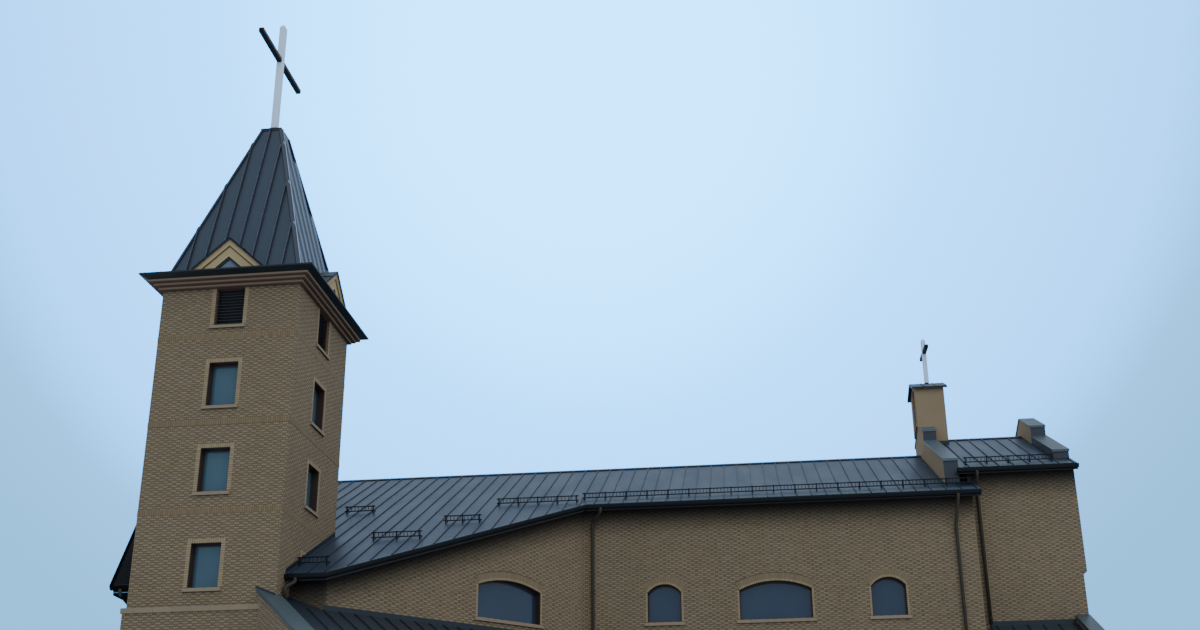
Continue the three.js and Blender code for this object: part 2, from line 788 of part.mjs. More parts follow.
// The front pipe ends over the annex's roof, and the back pipe on the ground.
function chancelGutters() {
  const level = chancelTop(0, chancel.eaveY) - gutter.lip;
  const gutterY = chancel.eaveY - gutter.middle;
  const foot = annex.roofHead + pipes.radius;
  const edge = [[chancelGutter.west, chancel.eaveY], [chancelGutter.east, chancel.eaveY]];
  const front = gutterRun(edge, chancelTop)
    .add(downpipe({ x: chancelPipe, foot }, gutterY, chancel.front, level));
  addNode("chancel_gutter_front", front, trimMetal);
  const backEdge = edge.map(([x, y]) => [x, mirrorY(y)]).reverse();
  const back = gutterRun(backEdge, chancelTop)
    .add(downpipe({ x: chancelPipe }, mirrorY(gutterY), chancel.back, level));
  addNode("chancel_gutter_back", back, trimMetal);
}

// Lean-to in front of the right splay, in distances along the splay and out from the tower's corner

const leanToTop = (x, y) => leanTo.head - leanTo.pitch * splayOut(x, y);
const leanToCoping = (x, y) => leanTo.coping - leanTo.pitch * splayOut(x, y);
const splayPlan = (along0, along1, out0, out1) => [
  onSplay(along0, out0),
  onSplay(along0, out1),
  onSplay(along1, out1),
  onSplay(along1, out0),
];
const wallFace = splayOut(nave.rightCorner, nave.shortWall) + SEAT;

function vergeWall(from, to, start) {
  const end = leanTo.depth + leanTo.verge;
  const inset = leanToWall.copingOut;
  const coping = prism(
    splayPlan(from, to, start, end + inset),
    (x, y) => leanToCoping(x, y) - leanTo.copingThick,
    leanToCoping,
  );
  const underCoping = (x, y) => leanToCoping(x, y) - OVER;
  return prism(splayPlan(from + inset, to - inset, start, end), 0, underCoping).add(coping);
}

function leanToNodes() {
  const { leftFrom, leftTo, rightFrom, rightTo, copingOut } = leanToWall;
  addNode("lean_to_left_verge", clearOfTower(vergeWall(leftFrom, leftTo, -half)), brick);
  addNode("lean_to_right_verge", vergeWall(rightFrom, rightTo, wallFace), brick);
  const left = leftTo - copingOut + SEAT;
  const right = rightFrom + copingOut - SEAT;
  const front = leanTo.depth;
  const lowered = (x, y) => leanToTop(x, y) - ROOF - SEAT;
  let wall = prism(splayPlan(left, right, front - WALL, front), 0, lowered);
  leanToWindows.forEach((along, i) => {
    const outline = windowAt(i % 2 ? naveWindow.wide : naveWindow.small, naveWindow.lowerDrop);
    wall = wall.subtract(upright(outline, onSplay(along, front), Math.PI / 4, 4 * WALL));
  });
  addNode("lean_to_front_wall", wall, brick);
  const sheetFrom = onSplay(leanToWindows[0] - naveWindow.small, front);
  const sheetTo = onSplay(leanToWindows[2] + naveWindow.small, front);
  glassSheet("lean_to_glass", sheetFrom, sheetTo, glassBottom, glassBottom + lowGlass);
  const edge = front + leanTo.overhang;
  const roofPlan = [
    onSplay(left, edge),
    onSplay(right, edge),
    onSplay(right, wallFace),
    [nave.rightCorner + SEAT, nave.shortWall - SEAT],
    [SEAT, nave.shortWall - SEAT],
    [SEAT, left / DIAGONAL],
  ];
  addNode("lean_to_roof", clearOfTower(roofSlab(roofPlan, leanToTop)), roofMetal);
}

// Chancel

const chancelRoom = underRoof(chancel.ridge, nave.east, chancel.east);
const chancelWall = (x0, x1, y0, y1) => box(x0, x1, y0, y1, 0, FAR).intersect(chancelRoom);

function chancelNodes() {
  const west = nave.east + SEAT;
  const inner = chancel.east - WALL;
  const door = doorway([annex.door, chancel.front], 0);
  const front = chancelWall(west, inner - SEAT, chancel.front, chancel.front + WALL);
  addNode("chancel_front_wall", front.subtract(door), brick);
  const back = chancelWall(west, inner - SEAT, chancel.back - WALL, chancel.back);
  addNode("chancel_back_wall", back, brick);
  const gable = chancelWall(inner, chancel.east, chancel.front, chancel.back);
  const step = box(chancel.east - chancel.stepIn, FAR, 0, FAR, -OVER, chancel.stepZ);
  addNode("chancel_gable_wall", gable.subtract(step), brick);
  const roofWest = parapets[0].x1 + SEAT;
  const { roofEast } = chancel;
  const slope = (y0, y1) =>
    roofSlab([[roofWest, y0], [roofEast, y0], [roofEast, y1], [roofWest, y1]], chancelTop);
  addNode("chancel_roof_front", slope(chancel.eaveY, ridgeY - SEAT / 2), roofMetal);
  addNode("chancel_roof_back", slope(ridgeY + SEAT / 2, mirrorY(chancel.eaveY)), roofMetal);
}

// Gable parapets, from the roof up to their stepped tops

function parapetOutline({ profile, roof }, gap) {
  const bottom = (y) => [y, roof(0, y) + SEAT];
  const mirrored = profile.slice(0, -1).reverse().map(([y, z]) => [mirrorY(y), z + gap]);
  const nearEnd = profile[0][0];
  return [
    bottom(nearEnd),
    ...profile.map(([y, z]) => [y, z + gap]),
    ...mirrored,
    bottom(mirrorY(nearEnd)),
    bottom(ridgeY),
  ].reverse();
}

const parapetBody = (parapet, gap = 0, grow = 0) =>
  acrossNave(parapetOutline(parapet, gap), parapet.x0 - grow, parapet.x1 + grow);

// Bell cote on the ridge, with an arch through it along the nave

function bellCoteNodes() {
  const slope = (bellCote.ridge - bellCote.eave) / (bellCote.halfWide + bellCote.overhang);
  const outline = (reach, drop) => [
    [ridgeY + reach, bellCote.ridge - slope * reach - drop],
    [ridgeY, bellCote.ridge - drop],
    [ridgeY - reach, bellCote.ridge - slope * reach - drop],
  ];
  const { west, east, halfWide, overhang, archHalf, archSpring } = bellCote;
  const sill = parapets[0].profile.at(-1)[1];
  const base = chancel.ridge - ROOF - pitch * halfWide;
  const shaft = acrossNave(
    [[ridgeY - halfWide, base], [ridgeY + halfWide, base], ...outline(halfWide, bellCote.roof + SEAT)],
    west,
    east,
  );
  const reachOut = 2 * halfWide;
  const chancelSpace = acrossNave(
    [
      [ridgeY - reachOut, base - WALL],
      [ridgeY + reachOut, base - WALL],
      ...[reachOut, 0, -reachOut].map((dy) => [ridgeY + dy, chancelTop(0, ridgeY + dy) + SEAT]),
    ],
    parapets[0].x1 + SEAT,
    east + WALL,
  );
  const arch = archOutline(2 * archHalf, sill, archSpring, archHalf);
  const body = shaft
    .subtract(parapetSpace())
    .subtract(chancelSpace)
    .subtract(upright(arch, [(west + east) / 2, ridgeY], Math.PI / 2, 2 * (east - west)));
  addNode("bell_cote", body, plaster);
  const reach = halfWide + overhang;
  const lower = outline(reach, bellCote.roof).reverse();
  const roof = acrossNave([...lower, ...outline(reach, 0)], west - overhang, east + overhang);
  addNode("bell_cote_roof", roof, roofMetal);
  addNode("bell_cote_cross", roofCrossBody(), paleMetal);
}

// The room under the nave parapet's top, over the whole length of the bell cote's west part.
function parapetSpace() {
  const { profile, x1 } = parapets[0];
  const top = profile.slice(-2);
  const [[y0, z0], [y1, z1]] = top;
  const outline = [
    [y0, 0],
    [mirrorY(y0), 0],
    [mirrorY(y0), z0 + SEAT],
    [y1, z1 + SEAT],
    [y0, z0 + SEAT],
  ];
  return acrossNave(outline, bellCote.west - WALL, x1 + SEAT);
}

function roofCrossBody() {
  const mastHalf = roofCross.mast / 2;
  const barHalf = roofCross.barThick / 2;
  const mast = box(
    roofCross.x - mastHalf,
    roofCross.x + mastHalf,
    ridgeY - mastHalf,
    ridgeY + mastHalf,
    bellCote.ridge + SEAT,
    roofCross.top,
  );
  const bar = box(
    roofCross.x - barHalf,
    roofCross.x + barHalf,
    ridgeY - roofCross.barHalf,
    ridgeY + roofCross.barHalf,
    roofCross.barHeight - barHalf,
    roofCross.barHeight + barHalf,
  );
  return mast.add(bar);
}

// Annex in front of the chancel

function annexNodes() {
  const top = (x, y) => annex.roofHead - pitch * (chancel.front - y);
  const coping = (x, y) => annex.copingHead - pitch * (chancel.front - y);
  const under = (x, y) => top(x, y) - ROOF - SEAT;
  const back = chancel.front - SEAT;
  const rectangle = (x0, x1, y0, y1) => [[x0, y0], [x1, y0], [x1, y1], [x0, y1]];
  const { west, east, front, roofWest, overhang } = annex;
  const out = leanToWall.copingOut;
  const verge = east - WALL - out;
  let walls = prism(rectangle(west, west + WALL, front, back), 0, under)
    .add(prism(rectangle(west, east, front, front + WALL), 0, under))
    .add(prism(rectangle(east - WALL, east, front, back), 0, (x, y) => coping(x, y) - OVER))
    .add(
      prism(
        rectangle(verge, east + out, front - leanTo.verge, back),
        (x, y) => coping(x, y) - leanTo.copingThick,
        coping,
      ),
    );
  const outline = windowAt(naveWindow.small, naveWindow.lowerDrop);
  walls = walls.subtract(upright(outline, [(west + east) / 2, front], 0, 4 * WALL));
  addNode("annex_walls", walls, brick);
  const roofPlan = rectangle(roofWest, east - WALL - SEAT, front - overhang, back);
  addNode("annex_roof", roofSlab(roofPlan, top), roofMetal);
  const middle = (west + east) / 2;
  const reach = naveWindow.small;
  const ends = [[middle - reach, front], [middle + reach, front]];
  glassSheet("annex_glass", ...ends, glassBottom, glassBottom + lowGlass);
}

// One ground floor through all the rooms, joined in the doorways

function groundFloor() {
  const slab = (plan) => prism(plan, 0, FLOOR);
  const rectangle = (x0, x1, y0, y1) => slab([[x0, y0], [x1, y0], [x1, y1], [x0, y1]]);
  const rightSide = offsetLine(rightFront, WALL + SEAT);
  const leftSide = offsetLine(leftAndBack, WALL + SEAT);
  const naveEnd = nave.east - WALL - SEAT;
  const hall = slab([
    ...leftSide.slice(1).map(([x, y], i, all) => (i === all.length - 1 ? [-half, y] : [x, y])),
    ...rightSide.slice(1, 3),
    [naveEnd, rightSide[3][1]],
    [naveEnd, leftSide[0][1]],
  ]);
  const chancelFloor = rectangle(
    nave.east + SEAT,
    chancel.east - WALL - SEAT,
    chancel.front + WALL + SEAT,
    chancel.back - WALL - SEAT,
  );
  const archHalf = chancelArch.width / 2 - SEAT;
  const archNeck = rectangle(naveEnd - OVER, nave.east + OVER, ridgeY - archHalf, ridgeY + archHalf);
  const doorHalf = entrance.width / 2 - SEAT;
  const entranceNeck = rectangle(
    nave.west,
    nave.west + WALL + OVER,
    ridgeY - doorHalf,
    ridgeY + doorHalf,
  );
  const neck = door.width / 2 - SEAT;
  const { door: splayDoor } = splayWindow;
  const splayNeck = slab(splayPlan(splayDoor - neck, splayDoor + neck, -2 * WALL, 2 * WALL));
  const annexNeck = rectangle(
    annex.door - neck,
    annex.door + neck,
    chancel.front - WALL,
    chancel.front + 2 * WALL,
  );
  const { leftTo, rightFrom, copingOut } = leanToWall;
  const leanToFloor = slab([
    onSplay(leftTo - copingOut + SEAT, leanTo.depth - WALL - SEAT),
    onSplay(rightFrom + copingOut - SEAT, leanTo.depth - WALL - SEAT),
    onSplay(rightFrom + copingOut - SEAT, wallFace),
    [nave.rightCorner + SEAT, nave.shortWall - SEAT],
    [SEAT, nave.shortWall - SEAT],
    [SEAT, (leftTo - copingOut + SEAT) / DIAGONAL],
  ]);
  const annexFloor = rectangle(
    annex.west + WALL + SEAT,
    annex.east - WALL - SEAT,
    annex.front + WALL + SEAT,
    chancel.front - SEAT,
  );
  const towerEdge = half - WALL - SEAT;
  const towerRoom = box(-towerEdge, towerEdge, -towerEdge, towerEdge, 0, FLOOR).translate(-half, half, 0);
  const towerNeck = rectangle(
    -half - neck,
    -half + neck,
    tower.width - WALL - OVER,
    tower.width + 2 * WALL,
  );
  const outside = clearOfTower(hall.add(leanToFloor).add(splayNeck));
  return outside
    .add(chancelFloor)
    .add(archNeck)
    .add(entranceNeck)
    .add(annexFloor)
    .add(annexNeck)
    .add(towerRoom)
    .add(towerNeck);
}

naveGutters();
leanToNodes();
chancelNodes();
chancelGutters();
parapets.forEach((parapet) => addNode(parapet.name, parapetBody(parapet), plaster));
bellCoteNodes();
annexNodes();
addNode("ground_floor", groundFloor(), concrete);

const extent = new THREE.Box3().setFromObject(church);
const centre = extent.getCenter(new THREE.Vector3());
church.position.set(-centre.x, -centre.y, -extent.min.z);

export default church;
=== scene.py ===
# Looks of the church: materials, brickwork, windows, seams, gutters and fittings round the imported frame.
# Sizes are in metres. Plan places start at the tower's front right corner, and heights at the ground.
import math

import bmesh
import bpy
from mathutils import Matrix, Vector


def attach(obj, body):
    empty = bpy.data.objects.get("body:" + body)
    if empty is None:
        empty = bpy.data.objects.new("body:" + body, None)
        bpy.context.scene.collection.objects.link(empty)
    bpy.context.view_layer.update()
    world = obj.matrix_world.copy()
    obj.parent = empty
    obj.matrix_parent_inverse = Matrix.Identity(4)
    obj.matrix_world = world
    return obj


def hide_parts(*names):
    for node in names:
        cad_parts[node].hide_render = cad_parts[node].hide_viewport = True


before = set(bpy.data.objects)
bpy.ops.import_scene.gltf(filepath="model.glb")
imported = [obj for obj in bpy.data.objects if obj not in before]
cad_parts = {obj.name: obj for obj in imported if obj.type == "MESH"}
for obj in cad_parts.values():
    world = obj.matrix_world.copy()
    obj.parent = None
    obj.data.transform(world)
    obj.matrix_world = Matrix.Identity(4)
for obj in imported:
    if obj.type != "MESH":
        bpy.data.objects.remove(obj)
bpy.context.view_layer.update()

ORIGIN = Vector((-8.236167, -8.313076, 0.0))
EAST = Vector((1, 0, 0))
BACK = Vector((0, 1, 0))
UP = Vector((0, 0, 1))
DIAGONAL = math.sqrt(0.5)
SQUARE = [(-1, -1), (1, -1), (1, 1), (-1, 1)]

# Camera
CAMERA_PLACE = ORIGIN + Vector((13.8696, -33.0902, 0.4764))
CAMERA_RIGHT = Vector((0.99465, 0.10268, -0.01112))
CAMERA_UP = Vector((0.04095, -0.29330, 0.95514))
CAMERA_FORWARD = Vector((-0.09481, 0.95049, 0.29593))
CAMERA_LENS = 34.967
CAMERA_SHIFT = (-0.0204, 0.1500)

# Sky, brightest one way, with its colours by the cosine of the angle from there
SKY_LIGHT = (203, 224, 245)
SKY_BRIGHT_WAY = (-0.1056, 0.7889, 0.6054)
SKY_STEPS = [
    (0.832, (0.28, 0.88, 1.65)),
    (0.874, (0.30, 1.05, 2.10)),
    (0.903, (0.30, 1.70, 4.30)),
    (0.958, (0.27, 2.20, 5.50)),
    (0.991, (0.28, 3.60, 8.20)),
]
FLOOR_REACH = 2000
FLOOR_LEVEL = -0.01
FLOOR_COLOUR = (196, 198, 200)
SUN_POWER = 0.7
SUN_WIDE = math.radians(60)
SUN_TURN = (math.radians(40), 0, math.radians(48))

# Building
TOWER = 4.67
HALF = TOWER / 2
TOWER_TOP = 18.45
PITCH = 0.5621
RIDGE_Y = 13.443
NAVE_RIDGE = 16.104
CHANCEL_RIDGE = 16.745
ROOF = 0.25
NAVE_FRONT = 8.083
NAVE_EAVE = 7.689
NAVE_EAST = 22.58
CHANCEL_FRONT = 8.728
CHANCEL_EAVE = 8.441
SHORT_WALL = 1.03
SHORT_EAVE = 0.626
SPLAY_FROM = 1.297
SPLAY_TO = 8.36
SPLAY_LINE = 0.671
SPLAY_OUT = (1.125 - SHORT_WALL) * DIAGONAL
LEFT_EAVE = 0.1
LEFT_CORNER = -5.216
WEST_WALL = -9.28
WEST_EAVE = -9.68
WEST_EAVE_Y = 9.484

# Brick
COURSE = 0.075
BOND = 0.287
STRETCHER = 2 / 3
JOINT = 0.011
PROUD = 0.006
EAVE_SHADE = 1.3

# Windows
TOWER_WINDOW = 0.97
TOWER_ROWS = [(8.4, 9.8), (11.46, 12.9), (14.34, 15.82), (17.15, 18.45)]
BAND_LEVELS = [(10.73, 10.91), (13.67, 13.85), (16.65, 16.83)]
BORDER_WIDE = 0.13
FRAME_FROM = -0.24
FRAME_TO = -0.3
FRAME_WIDE = 0.055
LINING = 0.012
PANE = (-0.275, -0.255)
LOUVRES = 11
LOUVRE_FRAME = 0.05
SILL_THICK = 0.135
SILL_OUT = 0.06
SILL_OVER = 0.12
SMALL = 1.22
WIDE = 2.578
WINDOW_PITCH = 3.98
WINDOW_FIRST = 19.126
LOWER_DROP = 5.2
WINDOW_LEVELS = (8.47, 9.55, 0.31)
SPLAY_LEVELS = (8.25, 9.38, 0.27)
SPLAY_WINDOW = 8.36
LEFT_WALL = ((WEST_WALL, 9.56), (-5.222, SHORT_WALL))
LEFT_WINDOW = 3.9
ENTRANCE_WINDOW = 2.5
LEAN_WINDOWS = [(2.6, SMALL), (5.3, WIDE), (8.0, SMALL)]
ANNEX_FRONT = 5.13
ANNEX_WINDOW = 24.39
STRING_LEVELS = (9.61, 9.635)
STRING_END = 21.7
STRING_CLEAR = {SMALL: 0.9, WIDE: 1.58}
ARCH_STEPS = 16
ARCH_BORDER = 0.075
ARCH_RING = 0.29

# Spire, dormers and tower eave
SPIRE_OFFSET = (-0.03, -0.015)
SPIRE_FOOT = 19.2
SPIRE_TOP = 25.83
SPIRE_FOOT_HALF = 2.2
SPIRE_TOP_HALF = 0.356
SPIRE_LEAN = (SPIRE_FOOT_HALF - SPIRE_TOP_HALF) / (SPIRE_TOP - SPIRE_FOOT)
SPIRE_SEAMS = 0.55
RIB_WIDE = 0.028
RIB_HIGH = 0.07
HIP_WIDE = 0.15
HIP_EDGE = 0.016
DORMER_FRONT = 2.685
DORMER_APEX = 20.08
DORMER_SLOPE = 0.9035
DORMER_FOOT = 19.02
DORMER_MOULDING = 0.25
DORMER_WINDOW = 0.63
DORMER_SEAM = 0.5
DORMER_STEP = 0.04
DORMER_OVER = 0.05
GROOVE_WIDE = 0.045
RIM_WIDE = 0.1
BEAD_WIDE = 0.045
BEAD_THICK = 0.014
TOP_BEAD = 0.05
EAVE_HALF = HALF + 0.594
EAVE_TOP = 18.874
SKIRT_HALF = 2.24

# Crosses, as foot, top, half width and point of the mast, and reach, height and thickness of the bar
SPIRE_CROSS = ((-HALF - 0.045, HALF - 0.085), (25.89, 30.6, 0.11, 0.16), (1.9, 28.97, 0.18))
BELL_CROSS = ((22.06, RIDGE_Y), (19.33, 21.35, 0.085, 0.08), (0.8, 20.72, 0.15))

# Roof seams, sheets and snow guards
SEAM_STEP = 0.53
SEAM_WIDE = 0.03
SEAM_HIGH = 0.04
SEAMS = 61
SEAMS_FROM = 22.45
CHANCEL_SEAMS_FROM = 22.42
SEAM_CLEAR = 0.12
SEAM_END = 0.02
BELL_SEAM_CLEAR = 0.7
AT_PARAPET = (21.5, 22.06)
PARAPET_FOOT = 8.56
PAST_PARAPET = CHANCEL_FRONT - 0.31
LAST_SEAM_TOP = 9.16
# The near-black sheet of painted shade on the roof beside the tower
SHADE_SHEET_REACH = 3.5
SHADE_SHEET_WIDE = 0.95
SHADE_SHEET_TOP = 6.4
SHADE_SHEET_NARROW = 0.1
CAP_HALF = 0.16
CAP_ENDS = [((-9.66, 21.52), NAVE_RIDGE), ((22.62, 25.64), CHANCEL_RIDGE)]
STRIP_ENDS = (-9.5, 1.4, 8.4, 22.6)
CHANCEL_STRIP = (22.3, 26.2)
STRIP_DEEP = 0.3
SPLAY_STRIP_DEEP = 0.11
RAILS = (0.1, 0.27)
GUARD_HIGH = 0.3
POST_STEP = 0.8
BALUSTER_STEP = 0.13
NAVE_GUARDS = [
    (8.15, 22.4, 8.3),
    (4.96, 8.06, 8.0),
    (3.54, 4.91, 5.78),
    (1.54, 3.3, 3.95),
    (0.05, 1.1, 1.34),
    (-0.78, 0.39, 7.7),
]
BACK_GUARD = (-9.0, 22.0, 8.1)
CHANCEL_GUARD = (22.3, 25.55, 8.85)

# Gutters and pipes
GUTTER_WIDE = 0.12
GUTTER_DEEP = 0.14
GUTTER_DROP = 0.06
GUTTER_SHEET = 0.006
STRAP_STEP = 0.7
CHANCEL_GUTTER = (21.95, 26.27)
PIPE = 0.06
PIPE_GAP = 0.02
FRONT_PIPES = [(8.92, 8.58, 0.33), (21.76, 21.66, 0.9)]
LEFT_PIPE = -4.95
BACK_PIPES = [-8.6, 8.58, 21.8]
CHANCEL_PIPE = 22.66
CHANCEL_PIPE_FOOT = 8.15
COLLAR_STEP = 2.4
SHORT_PIPE_TOP = 0.35
SHORT_PIPE_PLACE = (0.11, 0.4)

# Bell cote, lean-to and annex
BELL_WEST = 21.32
BELL_EAST = 22.73
BELL_RIDGE = 19.33
BELL_EAVE = 18.89
BELL_REACH = 0.79
BELL_FOOT = (22.05, 22.61)
BELL_FOOT_HALF = 0.66
LEAN_HEAD = 7.838
LEAN_COPING = 8.065
LEAN_PITCH = 0.57
LEAN_WALL = 3.2
LEAN_EDGE = 3.55
LEAN_SEAMS_FROM = 0.45
LEAN_SEAM_TOPS = [-0.4, 0.08, 0.08] + [SPLAY_OUT] * 16
LEAN_GUTTER = (0.24, 10.25)
VERGES = [(-0.43, 0.205, None), (10.27, 10.82, 0.067)]
ANNEX_HEAD = 8.09
ANNEX_COPING = 8.39
ANNEX_EAVE = 4.83
ANNEX_VERGE = (25.59, 26.07)
ANNEX_GUTTER = (22.64, 25.62)
ANNEX_SEAMS_FROM = 22.85
ANNEX_SEAMS = 6
ANNEX_COPING_ENDS = (4.97, 8.72)
ANNEX_FLASHING = (22.63, 25.58)
SPLAY_FLASHING = (1.53, 10.26)
FLASHING = 0.16
SHEET = 0.014
FOLD = 0.008
COPING_OVER = 0.035
COPING_THICK = 0.045

# Entrance door
DOOR_WIDE = 2.2
DOOR_SPRING = 2.9
DOOR_RISE = 0.3
DOOR_PANELS = [(0.3, 1.05), (1.2, 2.0), (2.15, 2.85)]
HANDLE = (1.0, 1.5)


def srgb(red, green, blue):
    """A linear colour from 8-bit display values."""
    steps = [v / 255 for v in (red, green, blue)]
    return [v / 12.92 if v <= 0.04045 else ((v + 0.055) / 1.055) ** 2.4 for v in steps] + [1]


# Node trees


class Tree:
    """Builds one material's nodes. Colours are given as tuples of 8-bit display values."""

    def __init__(self, name):
        self.material = bpy.data.materials.new(name)
        self.material.use_nodes = True
        self.tree = self.material.node_tree
        self.shader = self.tree.nodes["Principled BSDF"]

    def add(self, kind, *inputs, **settings):
        made = self.tree.nodes.new("ShaderNode" + kind)
        for key, value in settings.items():
            setattr(made, key, value)
        for socket, value in zip(made.inputs, inputs):
            self.feed(socket, value)
        return made

    def feed(self, socket, value):
        if isinstance(value, bpy.types.NodeSocket):
            self.tree.links.new(value, socket)
            return
        if isinstance(value, tuple):
            value = srgb(*value)
        socket.default_value = value[:3] if socket.type == "VECTOR" else value

    def math(self, operation, *inputs):
        return self.add("Math", *inputs, operation=operation).outputs[0]

    def mix(self, factor, a, b, kind="RGBA", first=6, result=2):
        made = self.add("Mix", factor, data_type=kind)
        self.feed(made.inputs[first], a)
        self.feed(made.inputs[first + 1], b)
        return made.outputs[result]

    def noise(self, vector, scale, detail=2.0):
        made = self.add("TexNoise", vector)
        made.inputs["Scale"].default_value = scale
        made.inputs["Detail"].default_value = detail
        return made.outputs["Fac"]

    def grain(self, scale, detail=2.0):
        """Noise in the building's own space."""
        return self.noise(self.place(), scale, detail)

    def stretched(self, *scale):
        made = self.add("Mapping", self.place())
        made.inputs["Scale"].default_value = scale
        return made.outputs[0]

    def random(self, *parts):
        vector = self.add("CombineXYZ", *parts).outputs[0]
        return self.add("TexWhiteNoise", vector, noise_dimensions="3D").outputs["Value"]

    def chance(self, value, *seeds):
        """A random number for each whole step of a value."""
        return self.random(self.math("FLOOR", value), *seeds)

    def gap(self, value, part):
        """One in the first part of each whole step of a value, and nought in the rest."""
        return self.math("LESS_THAN", self.math("FRACT", value), part)

    def shade(self, colour, factor):
        """A colour made lighter or darker by a factor around one."""
        made = self.add("VectorMath", colour, operation="SCALE")
        self.feed(made.inputs["Scale"], factor)
        return made.outputs[0]

    def vary(self, colour, *swings):
        """A colour shaded by one or two values between nought and one, each with its reach."""
        factors = [self.math("MULTIPLY_ADD", value, 2 * reach, 1 - reach) for value, reach in swings]
        return self.shade(colour, self.math("MULTIPLY", *factors) if len(factors) > 1 else factors[0])

    def bump(self, height, distance, strength=1.0):
        made = self.add("Bump", strength, distance)
        self.feed(made.inputs["Height"], height)
        self.feed(self.shader.inputs["Normal"], made.outputs[0])

    def grooves(self, grain, joint, depth):
        """A faint grain in relief, with the joints set back."""
        self.bump(self.math("SUBTRACT", self.math("MULTIPLY", grain, 0.3), joint), depth)

    def finish(self, colour, roughness, metallic=0.0):
        self.feed(self.shader.inputs["Base Color"], colour)
        self.feed(self.shader.inputs["Roughness"], roughness)
        self.feed(self.shader.inputs["Metallic"], metallic)
        return self.material

    def place(self):
        return self.add("TexCoord").outputs["Object"]

    def split(self, vector):
        return self.add("SeparateXYZ", vector).outputs[:3]

    def facing(self):
        return self.split(self.add("NewGeometry").outputs["True Normal"])

    def wall_place(self):
        """Distance along an upright face and height on it. A level face takes its plan place."""
        x, y, z = self.split(self.place())
        nx, ny, nz = self.facing()
        level = self.math("GREATER_THAN", self.math("ABSOLUTE", nz), 0.7)
        along = self.math("SUBTRACT", self.math("MULTIPLY", y, nx), self.math("MULTIPLY", x, ny))
        return [self.mix(level, a, b, "FLOAT", 2, 0) for a, b in ((along, x), (z, y))]


# Materials

STRETCHERS = [(137, 117, 89), (148, 127, 98)]
TOWER_HEADERS = [(120, 101, 77), (132, 111, 84)]
NAVE_HEADERS = [(109, 92, 71), (130, 110, 84)]
MORTAR = (90, 77, 60)
TOWER_MORTAR = (66, 55, 43)


def brick_look(name, headers, mortar, ridge=None):
    """Brick in a Flemish bond with dark headers, with painted shade under the eaves of a roof with the
    given ridge and on the short walls beside the tower.
    """
    t = Tree(name)
    along, high = t.wall_place()
    rows = t.math("DIVIDE", high, COURSE)
    row = t.math("FLOOR", rows)
    shift = t.math("MULTIPLY", t.math("MODULO", row, 2.0), 0.5)
    bonds = t.math("ADD", t.math("DIVIDE", along, BOND), shift)
    bond = t.math("FLOOR", bonds)
    in_bond = t.math("FRACT", bonds)
    header = t.math("GREATER_THAN", in_bond, STRETCHER)
    first = t.math("LESS_THAN", in_bond, JOINT / BOND)
    middle = t.math("COMPARE", in_bond, STRETCHER, JOINT / BOND / 2)
    joint = t.math("MAXIMUM", t.math("MAXIMUM", first, middle), t.gap(rows, JOINT / COURSE))
    stretcher = t.mix(t.random(bond, row, header), *STRETCHERS)
    fired = t.mix(header, stretcher, t.mix(t.random(row, bond, 7.0), *headers))
    grain = t.grain(40.0, 4.0)
    colour = t.vary(t.mix(joint, fired, mortar), (grain, 0.1), (t.grain(0.35, 3.0), 0.12))
    # Painted shade: darker towards the eave above, and on the short walls beside the tower.
    if ridge:
        colour = t.shade(t.shade(colour, eave_painted_shade(t, ridge)), recess_shade(t))
    t.grooves(grain, joint, 0.006)
    return t.finish(colour, 0.92)


def eave_painted_shade(t, ridge):
    """A factor of painted shade that darkens a wall towards the roof slope above it, where the eave's
    shadow falls.
    """
    _, y, z = t.split(t.place())
    across = t.math("ABSOLUTE", t.math("SUBTRACT", y, RIDGE_Y + ORIGIN.y))
    below = t.math("SUBTRACT", t.math("MULTIPLY_ADD", across, -PITCH, ridge), z)
    spread = t.add("MapRange", below, ROOF, ROOF + EAVE_SHADE, 0.05, 1.0)
    spread.interpolation_type = "SMOOTHSTEP"
    return spread.outputs[0]


def recess_shade(t):
    """A factor that darkens the short walls beside the tower, which hardly see the sky."""
    near = t.math("LESS_THAN", t.split(t.place())[1], SHORT_WALL + 0.05 + ORIGIN.y)
    return t.math("MULTIPLY_ADD", near, -0.45, 1.0)


def upright_brick_look(name, light, dark, joint=MORTAR):
    """Bricks laid side by side along a strip, whose UV runs in metres."""
    t = Tree(name)
    bricks = t.math("DIVIDE", t.split(t.add("TexCoord").outputs["UV"])[0], COURSE)
    between = t.gap(bricks, JOINT / COURSE)
    colour = t.mix(between, t.mix(t.chance(bricks, 3.0, 5.0), light, dark), joint)
    grain = t.grain(40.0, 4.0)
    t.grooves(grain, between, 0.005)
    return t.finish(t.vary(colour, (grain, 0.12)), 0.92)


def plaster_look():
    t = Tree("plaster_face")
    grain = t.grain(55.0, 6.0)
    t.bump(grain, 0.003)
    return t.finish(t.vary((152, 128, 98), (grain, 0.06), (t.grain(1.1, 3.0), 0.12)), 0.9)


def stone_look(name, colour, joints=0.6, under=None, groove=0.0):
    """Stone blocks. Faces that look down, and the foot of each step, take the darker colour given for them,
    as painted shade.
    """
    t = Tree(name)
    blocks = t.math("DIVIDE", t.wall_place()[0], joints)
    joint = t.gap(blocks, 0.012 / joints)
    grain = t.grain(30.0, 5.0)
    shaded = t.vary(colour, (grain, 0.1), (t.chance(blocks, 1.0, 2.0), 0.06))
    mixed = t.mix(joint, shaded, t.shade(colour, 0.7))
    # Painted shade on downward faces and at the foot of each step.
    if under:
        down = t.math("LESS_THAN", t.facing()[2], -0.5)
        steps = t.math("MULTIPLY", t.math("SUBTRACT", t.split(t.place())[2], TOWER_TOP), 10.0)
        mixed = t.mix(t.math("MAXIMUM", down, t.gap(steps, groove)), mixed, under)
    t.grooves(grain, joint, 0.004)
    return t.finish(mixed, 0.88)


